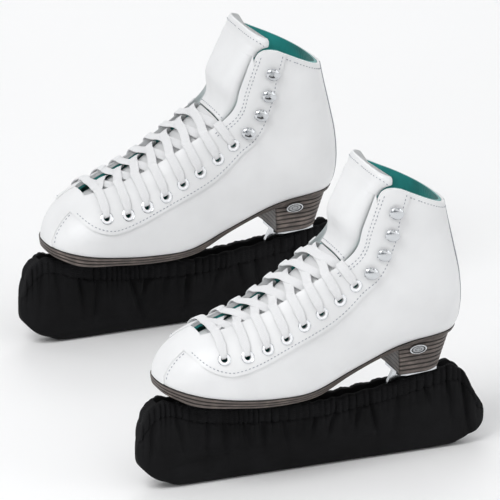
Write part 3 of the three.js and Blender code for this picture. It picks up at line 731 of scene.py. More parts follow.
def cloth_finish(name, colour, ribs=0.0):
    """Black woven cloth with a nap that catches the light, and ribs of elastic where it has them."""
    f = Finish(name, colour, 0.85, Specular_IOR_Level=0.16)
    at = f.place()
    weave = f.sums("MULTIPLY", f.wave(at, 520, 0.8, "X"), f.wave(at, 520, 0.8, "Z"))
    tone = f.noise(at, 35, 5.0, 0.6)
    f.feed("Base Color", f.ramp(tone, (0.3, shade(colour, 0.7)), (0.75, shade(colour, 1.6))))
    normal = f.bump(weave, 0.0003, 0.5)
    normal = f.bump(f.noise(at, 75, 4.0), 0.0012, 0.35, normal)
    if ribs:
        normal = f.bump(f.wave(at, ribs, 0.6, "Z"), 0.0004, 0.5, normal)
    f.feed("Normal", normal)
    return f.material


def thread_finish(colour):
    f = Finish("grey_thread", colour, 0.7)
    f.feed("Base Color", f.ramp(f.noise(f.place(), 900, 2.0), (0.3, shade(colour, 0.75)),
                                (0.7, shade(colour, 1.2))))
    return f.material


def enamel_finish():
    """White enamelled brass of the eyelets."""
    f = Finish("white_enamel", (0.88, 0.89, 0.91), 0.25, Coat_Weight=0.4, Coat_Roughness=0.1)
    f.feed("Roughness", f.ramp(f.noise(f.place(), 500, 3.0), (0.3, 0.2), (0.7, 0.34)))
    return f.material


FINISHES = {}


def finishes():
    """Makes each finish once."""
    if not FINISHES:
        scene = bpy.context.scene
        leather = tuple(scene.skate_leather.colour)
        edge = tuple(scene.skate_sole.colour)
        metal = tuple(scene.skate_metal.chrome)
        cloth = tuple(scene.skate_cover.colour)
        FINISHES.update(
            leather=leather_finish("white_leather", leather),
            facing=leather_finish("facing_leather", shade(leather, 0.985), 1.2),
            tongue=leather_finish("tongue_leather", shade(leather, 0.97), 0.8),
            lining=lining_finish(tuple(scene.skate_leather.lining_colour)),
            lace=lace_finish(tuple(scene.skate_lace.colour)),
            chrome=chrome_finish("hook_chrome", metal),
            blade=chrome_finish("blade_chrome", metal, 0.2),
            badge=badge_finish(shade(metal, 1.15)),
            layers=layered_finish(edge),
            sole=breast_finish(),
            board=board_finish(),
            cloth=cloth_finish("cover_cloth", cloth),
            elastic=cloth_finish("cover_elastic", shade(cloth, 1.15), 190),
            thread=thread_finish(tuple(scene.skate_stitches.colour)),
            enamel=enamel_finish(),
            piping=leather_finish("grey_piping", (0.3, 0.31, 0.34)),
        )
    return FINISHES


# ------------------------------------------------------------------ repeated small pieces


def socket_id(tree, name):
    return next(item.identifier for item in tree.interface.items_tree if item.name == name)


def setting_tree():
    """Geometry Nodes that set a shape at every place, its z along `out` and its x along `ahead`."""
    tree = bpy.data.node_groups.new("set on leather", "GeometryNodeTree")
    face = tree.interface
    face.new_socket("Places", in_out="INPUT", socket_type="NodeSocketGeometry")
    face.new_socket("Shape", in_out="INPUT", socket_type="NodeSocketObject")
    for name in ("Length", "Width", "Height", "Unevenness"):
        face.new_socket(name, in_out="INPUT", socket_type="NodeSocketFloat")
    face.new_socket("Seed", in_out="INPUT", socket_type="NodeSocketInt")
    face.new_socket("Finish", in_out="INPUT", socket_type="NodeSocketMaterial")
    face.new_socket("Pieces", in_out="OUTPUT", socket_type="NodeSocketGeometry")

    def node(kind, inputs=None, **settings):
        return add_node(tree, kind, inputs, **settings).outputs

    entry = node("NodeGroupInput")
    points = node("GeometryNodeMeshToPoints", {"Mesh": entry["Places"]})["Points"]
    shape = node("GeometryNodeObjectInfo", {"Object": entry["Shape"]})["Geometry"]
    stored = "GeometryNodeInputNamedAttribute"
    out = node(stored, {"Name": "out"}, data_type="FLOAT_VECTOR")["Attribute"]
    ahead = node(stored, {"Name": "ahead"}, data_type="FLOAT_VECTOR")["Attribute"]
    turn = node("FunctionNodeAxesToRotation", {"Primary Axis": out, "Secondary Axis": ahead},
                primary_axis="Z", secondary_axis="X")["Rotation"]
    least = node("ShaderNodeMath", {0: 1, 1: entry["Unevenness"]}, operation="SUBTRACT")[0]
    uneven = node("FunctionNodeRandomValue", {2: least, 3: 1, "Seed": entry["Seed"]}, data_type="FLOAT")[1]
    sizes = node("ShaderNodeCombineXYZ", {"X": entry["Length"], "Y": entry["Width"], "Z": entry["Height"]})[0]
    scale = node("ShaderNodeVectorMath", {0: sizes, "Scale": uneven}, operation="SCALE")[0]
    spread = node("GeometryNodeInstanceOnPoints",
                  {"Points": points, "Instance": shape, "Rotation": turn, "Scale": scale})["Instances"]
    real = node("GeometryNodeRealizeInstances", {"Geometry": spread})["Geometry"]
    finish = node("GeometryNodeSetMaterial", {"Geometry": real, "Material": entry["Finish"]})["Geometry"]
    node("NodeGroupOutput", {"Pieces": finish})
    return tree


def set_on(places, shape, sizes, material, unevenness=0.0, seed=0):
    """A plain mesh of a shape set at places, which are rows of (point, out, ahead)."""
    tree = bpy.data.node_groups.get("set on leather") or setting_tree()
    points, outs, aheads = (np.asarray(part, float).reshape(-1, 3) for part in places)
    mesh = bpy.data.meshes.new("places")
    mesh.from_pydata(points.tolist(), [], [])
    for name, values in (("out", outs), ("ahead", aheads)):
        layer = mesh.attributes.new(name, "FLOAT_VECTOR", "POINT")
        layer.data.foreach_set("vector", values.ravel())
    holder = bpy.data.objects.new("places", mesh)
    model = bpy.data.objects.new("shape", shape)
    for thing in (holder, model):
        bpy.context.scene.collection.objects.link(thing)
    step = holder.modifiers.new("set", "NODES")
    step.node_group = tree
    values = dict(zip(("Length", "Width", "Height"), map(float, sizes)))
    values.update(Shape=model, Unevenness=float(unevenness), Seed=int(seed), Finish=material)
    for name, value in values.items():
        step[socket_id(tree, name)] = value
    result = bpy.data.meshes.new_from_object(holder.evaluated_get(bpy.context.evaluated_depsgraph_get()))
    for thing in (holder, model):
        bpy.data.objects.remove(thing)
    if not result.polygons:
        raise RuntimeError("a shape was set at no place")
    result.polygons.foreach_set("use_smooth", np.ones(len(result.polygons), bool))
    return result


def lathe(profile, around=28):
    """A turned shape about z from (radius, height) points that end on the axis or close on themselves."""
    turn = np.linspace(0, 2 * np.pi, around, endpoint=False)
    profile = np.asarray(profile, float)
    rings = np.stack([np.outer(profile[:, 0], np.cos(turn)), np.outer(profile[:, 0], np.sin(turn)),
                      np.repeat(profile[:, 1:2], around, 1)], -1)
    return rings


def turned(name, profile, around=28):
    return ring_mesh(name, lathe(profile, around))


def hoop(name, profile, around=28):
    """A turned ring: the profile closes on itself."""
    rings = lathe([*profile, profile[0]], around)
    count = len(profile)
    faces = []
    for r in range(count):
        for k in range(around):
            after, turn = (r + 1) % count, (k + 1) % around
            faces.append((r * around + k, r * around + turn, after * around + turn, after * around + k))
    return mesh_of(name, rings[:count].reshape(-1, 3), faces)


def stitch_shape():
    """A short fat thread, one unit long, wide and high, lying on z = 0."""
    mesh = bpy.data.meshes.new("stitch")
    work = bmesh.new()
    bmesh.ops.create_uvsphere(work, u_segments=8, v_segments=4, radius=0.5)
    bmesh.ops.translate(work, verts=work.verts, vec=(0, 0, 0.1))
    work.to_mesh(mesh)
    work.free()
    return mesh


def on_skin(s, psi, offset, ahead=None):
    """(points, outs, aheads) on the boot; ahead follows the row unless it is given."""
    points = skin(s, psi, offset)
    if ahead is None:
        ahead = np.gradient(points, axis=0)
    return points, skin_normal(s, psi), np.broadcast_to(ahead, points.shape)


def rows_of_stitches(rows, name, body=BOOT):
    """Stitches along rows of (s, psi, offset) places, on both skates."""
    sizes = bpy.context.scene.skate_stitches
    inset = 2.6 if body == BOOT else -50  # under the collar; a tongue's rows may stand over it
    shape = stitch_shape()
    made = []
    for s, psi, offset in rows:
        offset = np.broadcast_to(np.asarray(offset, float), np.shape(s))
        run = run_along(skin(s, psi, offset))
        count = max(int(run[-1] / mm(sizes.pitch)), 2)
        at = (np.arange(count) + 0.5) * run[-1] / count
        points, outs, aheads = on_skin(*(np.interp(at, run, values) for values in (s, psi, offset)))
        inside = points[:, 2] < collar_z(points[:, 0]) - inset
        places = points[inside], outs[inside], aheads[inside]
        made.append(set_on(places, shape, (mm(sizes.length), mm(sizes.width), mm(sizes.width)),
                           finishes()["thread"], 0.16, sizes.seed))
    mesh = together(made)
    mesh.materials.append(finishes()["thread"])
    install(mesh, name, body, finishes()["thread"])


def parallel(line, by):
    """A line in side view moved square to itself."""
    ahead = np.gradient(line, axis=0)
    ahead /= np.linalg.norm(ahead, axis=1, keepdims=True)
    return line + by * np.stack([-ahead[:, 1], ahead[:, 0]], 1)


# ------------------------------------------------------------------ boot pieces


def wavy(base, height):
    """An offset with soft broad waves, level near the sole and the collar."""

    def offset(s, psi, point):
        x, y, z = np.moveaxis(point, -1, 0)
        swell = np.sin(x / 17 + z / 23 + 1.3) * np.cos(y / 19 - z / 31)
        swell = swell + 0.6 * np.sin(x / 9.5 - z / 12.5) * np.cos(y / 13 + 0.7)
        ankle = np.exp(-((s - 12.4) / 2.6) ** 2) * np.sin(s * 3.1) * np.exp(-((np.abs(psi) - 1.9) / 0.8) ** 2)
        return base + height * (0.6 * swell + 0.9 * ankle)

    return offset


def leather_sizes():
    """Upper, lining, facing and waviness, in mm."""
    sizes = bpy.context.scene.skate_leather
    return mm(sizes.upper), mm(sizes.lining), mm(sizes.facing), mm(sizes.waviness)


def eyelet_holes(side):
    """Pins through the leather at one side's eyelets."""
    holes = []
    for x, z in EYELETS:
        s, psi = place_on_side(x, z, side)
        pin = turned("hole", [(2.6, -6), (2.6, 6)], 16)
        turn = Vector(skin_normal(s, psi)).to_track_quat("Z", "Y").to_matrix().to_4x4()
        pin.transform(Matrix.Translation(Vector(skin_point(s, psi))) @ turn)
        holes.append(pin)
    return together(holes)


class SKATE_OT_upper(bpy.types.Operator):
    """Builds the boots' leather uppers and linings"""

    bl_idname = "skate.upper"
    bl_label = "Uppers and linings"

    def execute(self, context):
        thick, lining, _, wave = leather_sizes()
        collar = below(COLLAR)
        throat = throat_tool()
        boot = less(boot_body(wavy(0, wave)), boot_body(-thick, 96, 0.2))
        holes = [eyelet_holes(side) for side in SIDES]
        upper = less(kept(boot, above(SOLE_TOP), collar), throat, *holes)
        install(softened(upper), "leather_upper", BOOT, finishes()["leather"], ["upper"])

        outer = -(thick + FIT)

        def padding(s, psi, point):
            depth = collar_z(point[..., 0]) - point[..., 2]
            swell = ease(1 - np.abs(depth - 13) / 15) * ease((np.abs(psi) - 1.5) / 0.5)
            return outer - lining - 1.6 * swell

        cloth = less(boot_body(outer, 96, 0.16), boot_body(padding, 96, 0.16))
        cloth = less(kept(cloth, above(SOLE_TOP, FIT), collar), throat, *holes)
        install(softened(cloth), "teal_lining", BOOT, finishes()["lining"], ["lining"])

        psi = np.linspace(-np.pi, -0.98, 170)
        level = self.collar_row(psi, 4.2)
        rows_of_stitches([(level, psi, 0.1), (level, -psi, 0.1)], "collar_stitches")
        return {"FINISHED"}

    @staticmethod
    def collar_row(psi, depth):
        """Stations at which the skin lies some depth under the collar."""

        def past(s):
            x, _, z = np.moveaxis(skin_point(s, psi), -1, 0)
            return z > collar_z(x) - depth

        ankle = 16.0  # station well under the collar
        return halved(np.full(psi.shape, ankle), np.full(psi.shape, float(LAST)), past)


PLUG = [(-140, -2), (-129, -7), (-120, -9.5), (-109, -11), (THROAT_START - FIT, -9.5),
        (THROAT_START - FIT, 15.5), (-109, 19), (-120, 20.5), (-129, 21), (-140, 16)]


class SKATE_OT_panels(bpy.types.Operator):
    """Builds the toe plugs, facings and backstays with their stitches"""

    bl_idname = "skate.panels"
    bl_label = "Toe plugs, facings and backstays"

    def execute(self, context):
        _, _, facing, _ = leather_sizes()
        plug_thick, stay_thick = 0.9, 1.1
        collar = below(COLLAR)
        throat = throat_tool()
        plug = less(boot_body(FIT + plug_thick), boot_body(FIT - 0.1))
        plug = kept(plug, plan_slab(PLUG, 60, 180), above(SOLE_TOP, FIT))
        install(softened(plug), "plug_strip", BOOT, finishes()["facing"], ["toe_plug"])

        stay = less(boot_body(FIT + stay_thick), boot_body(FIT - 0.1))
        stay = kept(stay, plan_slab([(95, -7), (BEYOND, -7), (BEYOND, 7), (95, 7)], 60, 330),
                    above(SOLE_TOP, FIT), collar)
        install(softened(stay), "back_strip", BOOT, finishes()["facing"], ["backstay"])

        self.piping(FIT + stay_thick)
        grown = np.array(PLUG, float)
        grown[:, 1] += np.where(grown[:, 1] < 3, -FIT, FIT)
        room = kept(plan_slab(grown, 60, 180), plan_slab([(-150, -60), (THROAT_START + 1, -60),
                                                         (THROAT_START + 1, 60), (-150, 60)], 60, 180))
        outer = FIT + facing
        sheet = less(boot_body(outer, 112, 0.09), boot_body(FIT - 0.1, 96, 0.12))
        sheet = less(kept(sheet, collar), throat, room)
        outline = [*FACING_EDGE, (84, 290), (-60, 290), (-122, 170)]
        for side, word in zip(SIDES, ("outer", "inner")):
            half = (-70, 0) if side < 0 else (0, 70)
            panel = kept(sheet, side_slab(outline, *half))
            panel = less(panel, eyelet_holes(side))
            install(softened(panel), f"{word}_lace_facing", BOOT, finishes()["facing"], [f"{word}_facing"])

        rows = []
        below_eyelets = parallel(FACING_EDGE[10:], 2.6)
        for side in SIDES:
            rows.append((*place_on_side(below_eyelets[:, 0], below_eyelets[:, 1], side), outer))
            s = np.linspace(11.2, 19.5, 120)
            for inset in (2.0, 4.6):
                rows.append((s, side * inset_psi(s, inset), outer))
        rows_of_stitches(rows, "facing_stitches")
        self.plug_rows()
        return {"FINISHED"}

    @staticmethod
    def piping(lift):
        """Grey piping up both edges of the back strip."""
        radius, sunk, out_from_middle = 1.05, 0.5, 6.6
        tubes = []
        turn = np.linspace(0, 2 * np.pi, 10, endpoint=False)
        s = np.linspace(13.05, 18.9, 120)  # from the sole to the collar

        def inside(psi):
            return skin_point(s, psi)[:, 1] < out_from_middle

        for side in SIDES:
            psi = side * halved(np.full(s.shape, 2.2), np.full(s.shape, 3.1), inside)
            centre, out = skin(s, psi, np.full(s.shape, lift - sunk)), skin_normal(s, psi)
            ahead = np.gradient(centre, axis=0)
            across = np.cross(ahead / np.linalg.norm(ahead, axis=1, keepdims=True), out)
            rings = [c + radius * (np.cos(turn)[:, None] * o + np.sin(turn)[:, None] * a)
                     for c, o, a in zip(centre, out, across)]
            tubes.append(ring_mesh("piping", rings))
        install(softened(together(tubes)), "back_piping", BOOT, finishes()["piping"])

    @staticmethod
    def plug_rows():
        """Two rows along either side of the toe plug, from the sole to the lace opening."""
        rows = []
        for edge, outward in ((np.array(PLUG[1:5], float), -1), (np.array(PLUG[5:9], float)[::-1], 1)):
            line = smooth(edge, 12)
            line[:, 1] += outward * 1.6
            s, psi = [], []
            for x, y in line:
                at = SKATE_OT_panels.place_in_plan(x, y)
                s.append(at[0])
                psi.append(at[1])
            rows.append((np.array(s), np.array(psi), 0.2))
        rows_of_stitches(rows, "plug_stitches")

    @staticmethod
    def place_in_plan(x, y):
        """Surface place of a spot on the top of the toe, given in plan."""
        s = np.interp(x, [row[2] for row in STATIONS[:9]], np.arange(9))
        _, _, _, _, half, shift, _, upper = section(s)
        share = min(abs(y - shift) / max(half, 1e-6), 1)
        return s, math.copysign(math.asin(share ** (upper / 2)), y - shift)


class SKATE_OT_tongue(bpy.types.Operator):
    """Builds the padded tongues, above and below the seam at which they fold"""

    bl_idname = "skate.tongue"
    bl_label = "Tongues"

    BEHIND_LINING = 3.4  # from the lining to the front of the tongue, before it is crowned

    def execute(self, context):
        thick = mm(context.scene.skate_leather.tongue)
        upper, lining, _, _ = leather_sizes()
        outer = -(upper + FIT + lining + self.BEHIND_LINING)
        top = self.pad(outer, thick, 11.9, 19.3, 0, True)
        install(softened(top, 60), "padded_tongue", TONGUE, finishes()["tongue"], ["tongue"])
        base = self.pad(outer, 3.0, 4.9, 11.8, 3.6, False)
        install(softened(base, 60), "tongue_foot", BOOT, finishes()["tongue"], ["tongue_base"])
        across = np.linspace(-0.9, 0.9, 60)
        rows = [(level, across * self.reach(level), self.crown(outer, level, across))
                for level in (19.1 - 0.3 * np.abs(across) ** 6, np.full(60, 12.12))]
        rows_of_stitches(rows, "tongue_stitches", TONGUE)
        return {"FINISHED"}

    @staticmethod
    def crown(outer, s, across):
        """Offset of the padded front, which stands forward between the facings, most in its middle."""
        rise = 0.2 + 0.8 * ease((s - 12.1) / 2.6)
        return outer + rise * (5.6 + 5.6 * (1 - np.clip(np.abs(across), 0, 1) ** 2.2))

    @staticmethod
    def reach(s):
        """Half the tongue's angle: up to the facings, and out over their corners above the collar."""
        inside = edge_psi(s, -1.4)
        most, steps, clearance = 0.42, 60, 1.5
        turn = np.linspace(0, most, steps)[None]
        points = skin_point(s[:, None] + 0 * turn, inside[:, None] + turn)
        clear = points[..., 2] > collar_z(points[..., 0]) + clearance
        return inside + most / (steps - 1) * np.maximum(np.cumprod(clear, axis=1).sum(1) - 1, 0)

    @classmethod
    def pad(cls, outer, thick, start, end, widen, crowned):
        """A padded strip between two stations, with a round rim, and with round top corners if crowned."""
        rows, half_around = 110, 36
        s = np.linspace(start, end, rows)
        across = np.concatenate([np.linspace(-1, 1, half_around), np.linspace(1, -1, half_around)[1:-1]])
        face = np.concatenate([np.ones(half_around), -np.ones(half_around - 2)])
        share = np.linspace(0, 1, rows)[:, None]
        plump = np.ones((rows, 1))
        if not crowned:
            half = edge_psi(s, widen)[:, None]
        else:
            corner = np.clip((share - 0.955) / 0.045, 0, 1)
            half = cls.reach(s)[:, None] * (0.88 + 0.12 * np.sqrt(np.maximum(1 - corner**2.4, 0)))
            plump = np.sqrt(np.maximum(1 - np.clip((share - 0.975) / 0.025, 0, 1) ** 2, 0.0))
        psi = across[None] * half
        rim = np.sqrt(np.maximum(1 - np.abs(across[None]) ** 12, 0))
        depth = face[None] * 0.5 * thick * rim * plump
        front = cls.crown(outer, s[:, None], across[None]) if crowned else outer
        return ring_mesh("tongue", skin(s[:, None] + 0 * psi, psi, front - thick / 2 + depth))


class SKATE_OT_sole(bpy.types.Operator):
    """Builds the layered soles and heels and their badges"""

    bl_idname = "skate.sole"
    bl_label = "Soles, heels and badges"

    BOTTOM, TOP = 75.5, 110.0
    BREAST = (73.5, 70.0)
    BACK = (114.8, 126.4)
    HALF = (22.5, 27.0)
    WELT = 1.8  # how far the sole stands out of the leather
    FLUSH = 1.7  # how much of that is taken off at the back

    def execute(self, context):
        groove = mm(context.scene.skate_sole.groove)
        line_x = np.linspace(-BEYOND, BEYOND, 120)
        low = np.interp(line_x, SOLE_BOTTOM[:, 0], SOLE_BOTTOM[:, 1])
        high = np.interp(line_x, SOLE_TOP[:, 0], SOLE_TOP[:, 1]) - FIT
        core = kept(self.trimmed(self.WELT - groove), above(np.stack([line_x, low], 1)),
                    below(np.stack([line_x, high], 1)))
        layers = 3
        joint = 0.12  # share of a layer taken by the groove at its edge
        wide = self.trimmed(self.WELT)
        for k in range(layers):
            floor = mix(low, high, (k + joint) / layers)
            roof = mix(low, high, (k + 1 - joint) / layers)
            layer = kept(wide, above(np.stack([line_x, floor], 1)), below(np.stack([line_x, roof], 1)))
            core = combined(core, "UNION", layer)
        counted(core, lambda x, y, z: (
            layers * (z - np.interp(x, line_x, low)) / np.interp(x, line_x, high - low)))
        install(softened(core), "layered_sole", BOOT, finishes()["layers"], ["outsole"])
        heel = kept(self.ridged_heel(groove), below(SOLE_BOTTOM, -FIT))
        lifts = context.scene.skate_sole.lifts
        counted(heel, lambda x, y, z: lifts * (z - self.BOTTOM - self.bow(x, z)) / (self.TOP - self.BOTTOM))
        for face in heel.polygons:
            on_breast, underneath = face.normal.x < -0.6, face.normal.z < -0.9
            face.material_index = int(on_breast or underneath)
        edges_and_breast = [finishes()["layers"], finishes()["sole"]]
        install(softened(heel, 50), "layered_heel", BOOT, edges_and_breast, ["heel"])
        self.badges()
        return {"FINISHED"}

    @classmethod
    def trimmed(cls, offset):
        """The boot's solid moved out all round but at its back, where the sole is flush with the leather."""
        body = boot_body(offset)
        shifted = body.copy()
        shifted.transform(Matrix.Translation((-cls.FLUSH, 0, 0)))
        return kept(body, shifted)

    def outline(self, level, inset):
        """A D in plan at a level from 0 at the bottom to 1 at the top, with its breast a little hollow."""
        breast, back, half = (mix(*pair, level) for pair in (self.BREAST, self.BACK, self.HALF))
        back, half = back - inset, half - inset
        turn = np.linspace(-np.pi / 2, np.pi / 2, 41)
        middle = back - half
        bend = np.stack([middle + half * np.cos(turn), half * np.sin(turn)], 1)
        sides = np.linspace(0, 1, 12, endpoint=False)[:, None]
        near = mix(np.array([(breast + 0.6, -half)]), bend[:1], sides)
        far = mix(bend[-1:], np.array([(breast + 0.6, half)]), sides + 1 / 12)
        y = np.linspace(half - 1.2, 1.2 - half, 15)
        hollow = np.stack([breast + 1.4 * (1 - (y / half) ** 2), y], 1)
        return np.vstack([near, bend, far, hollow])

    def bow(self, x, z):
        """How far the lifts rise in the middle of the heel."""
        return 0.9 * np.sin(np.pi * (z - self.BOTTOM) / (self.TOP - self.BOTTOM)) * np.cos((x - 96) / 30)

    def ridged_heel(self, groove):
        """The block of lifts, each with rounded edges and a groove below it."""
        lifts = bpy.context.scene.skate_sole.lifts
        # height within a lift, and how much of the groove's depth it is set in there
        lift_edge = ((0.0, 1.0), (0.1, 0.35), (0.28, 0.0), (0.72, 0.0), (0.9, 0.35))
        rings = []
        for k in range(lifts):
            for part, inset in lift_edge:
                level = (k + part) / lifts
                plan = self.outline(level, inset * groove)
                z = mix(self.BOTTOM, self.TOP, level)
                z = z + self.bow(plan[:, 0], z)
                rings.append(np.column_stack([plan, z]))
        plan = self.outline(1.0, 0)
        rings.append(np.column_stack([plan, np.full(len(plan), self.TOP)]))
        return ring_mesh("heel", rings)

    def badges(self):
        """A plain oval on each side of the heel: a rim, a channel and a low domed field."""
        profile = [(0.5, 0.3), (0.5, 0.85), (0.47, 1.0), (0.42, 1.0), (0.39, 0.72), (0.36, 0.7), (0.2, 0.92)]
        shape = turned("badge", profile, 40)
        counted(shape, lambda x, y, z: 2 * np.hypot(x, y))
        x, z = 88, 98.5
        length, width, height = 15, 8.2, 1.3
        stand_off = 0.62
        widest = 107  # height at which the heel is taken to have its full width
        level = (z - self.BOTTOM) / (widest - self.BOTTOM)
        slope = (self.HALF[1] - self.HALF[0]) / (widest - self.BOTTOM)
        y = mix(*self.HALF, level) + stand_off
        for side, word in zip(SIDES, ("outer", "inner")):
            out = np.array([0, side * math.cos(slope), -math.sin(slope)])
            places = [(x, side * y, z)], [out], [(1.0, 0.0, 0.0)]
            oval = set_on(places, shape, (length, width, height), finishes()["badge"])
            install(softened(oval, 50), f"{word}_oval_badge", BOOT, finishes()["badge"], [f"{word}_badge"])


class SKATE_OT_metal(bpy.types.Operator):
    """Builds the eyelets, speed hooks and screws, and polishes the blades and plates"""

    bl_idname = "skate.metal"
    bl_label = "Eyelets, hooks and blades"

    def execute(self, context):
        sizes = context.scene.skate_metal
        _, _, facing, _ = leather_sizes()
        outer = FIT + facing
        span = mm(sizes.eyelet)
        rim = hoop("rim", [(0.5, 0.0), (0.485, 0.5), (0.44, 0.85), (0.37, 1.0), (0.3, 0.8), (0.27, 0.3),
                           (0.27, -1.6), (0.3, -1.6), (0.34, 0.0)])
        ring = hoop("ring", [(0.5, 0.0), (0.535, 0.12), (0.54, 0.4), (0.5, 0.58), (0.46, 0.4), (0.46, 0.0)])
        for part, shape, finish in (("enamel_eyelets", rim, "enamel"), ("eyelet_rims", ring, "chrome")):
            made = [self.along(EYELETS, (12, 6), side, outer - 0.05, shape, (span, span, 1.15), finish)
                    for side in SIDES]
            install(softened(together(made), 50), part, BOOT, finishes()[finish])
        hook = self.hook_shape()
        for side, word in zip(SIDES, ("outer", "inner")):
            made = self.along(HOOKS, (12, -4), side, outer + 0.1, hook,
                              (mm(sizes.hook_length), mm(sizes.hook_width), 1), "chrome")
            install(softened(made, 50), f"{word}_speed_hooks", BOOT, finishes()["chrome"],
                    [f"{word}_hook_{k + 1}" for k in range(len(HOOKS))])
        for node in ("blade", "sole_plate", "heel_plate"):
            dress(node, finishes()["blade"])
        dress("insole", finishes()["board"])
        self.screws()
        return {"FINISHED"}

    @staticmethod
    def along(spots, towards, side, lift, shape, sizes, finish):
        """A shape at each spot given in side view, its x towards a spot that far off."""
        s, psi = place_on_side(spots[:, 0], spots[:, 1], side)
        points = skin(s, psi, np.full(len(spots), lift))
        ahead_s, ahead_psi = place_on_side(spots[:, 0] + towards[0], spots[:, 1] + towards[1], side)
        ahead = skin(ahead_s, ahead_psi, np.full(len(spots), lift)) - points
        return set_on((points, skin_normal(s, psi), ahead), shape, sizes, finishes()[finish])

    @staticmethod
    def hook_shape():
        """A speed hook one unit long and wide: a riveted foot, a bent stem and a domed plate."""
        foot = turned("foot", [(0.34, 0.0), (0.33, 0.5), (0.27, 0.8), (0.16, 0.95), (0.05, 1.0)], 20)
        dome = turned("dome", [
            (0.08, 4.1), (0.36, 3.75), (0.45, 3.3), (0.485, 3.1), (0.5, 3.4), (0.485, 3.75), (0.44, 4.0),
            (0.43, 4.15), (0.34, 4.6), (0.2, 4.95), (0.06, 5.05),
        ], 32)
        for vertex in dome.vertices:
            x, y, z = vertex.co
            vertex.co = (x, y, z + 0.7 * x - 0.15 - 0.7 * max(-x, 0) ** 2)
        path = smooth([(0.12, 0.7), (-0.2, 0.75), (-0.38, 1.2), (-0.43, 2.2), (-0.38, 3.1), (-0.2, 3.7)], 5)
        ahead = np.gradient(path, axis=0)
        out = np.stack([-ahead[:, 1], ahead[:, 0] * 12], 1)
        out /= np.hypot(out[:, 0] * 12, out[:, 1])[:, None]
        rings = []
        for (x, z), (dx, dz), half in zip(path, out, np.linspace(0.26, 0.36, len(path))):
            rings.append([(x + k * dx * 0.42, y * half, z + k * dz * 0.42)
                          for k, y in ((1, -1), (1, 0), (1, 1), (-1, 1), (-1, 0), (-1, -1))])
        return together([foot, dome, ring_mesh("stem", rings)])

    @staticmethod
    def screws():
        """Countersunk heads with a small pit in the middle, under the sole plate and the heel plate."""
        head = turned("screw", [(0.5, 0.35), (0.42, 0.75), (0.25, 0.95), (0.12, 1.0), (0.06, 0.55)], 18)
        spots = [(x, y) for x in (-100, -80, -58, -40) for y in (-15, 15)]
        points = [(x, y, float(np.interp(x, SOLE_BOTTOM[:, 0], SOLE_BOTTOM[:, 1])) - 2.9) for x, y in spots]
        points += [(x, y, 72.9) for x in (82, 104) for y in (-11, 11)]
        downs = [(0.0, 0.0, -1.0)] * len(points)
        aheads = [(1.0, 0.0, 0.0)] * len(points)
        mesh = set_on((points, downs, aheads), head, (6.4, 6.4, 0.9), finishes()["blade"])
        install(softened(mesh), "plate_screws", BOOT, finishes()["blade"])


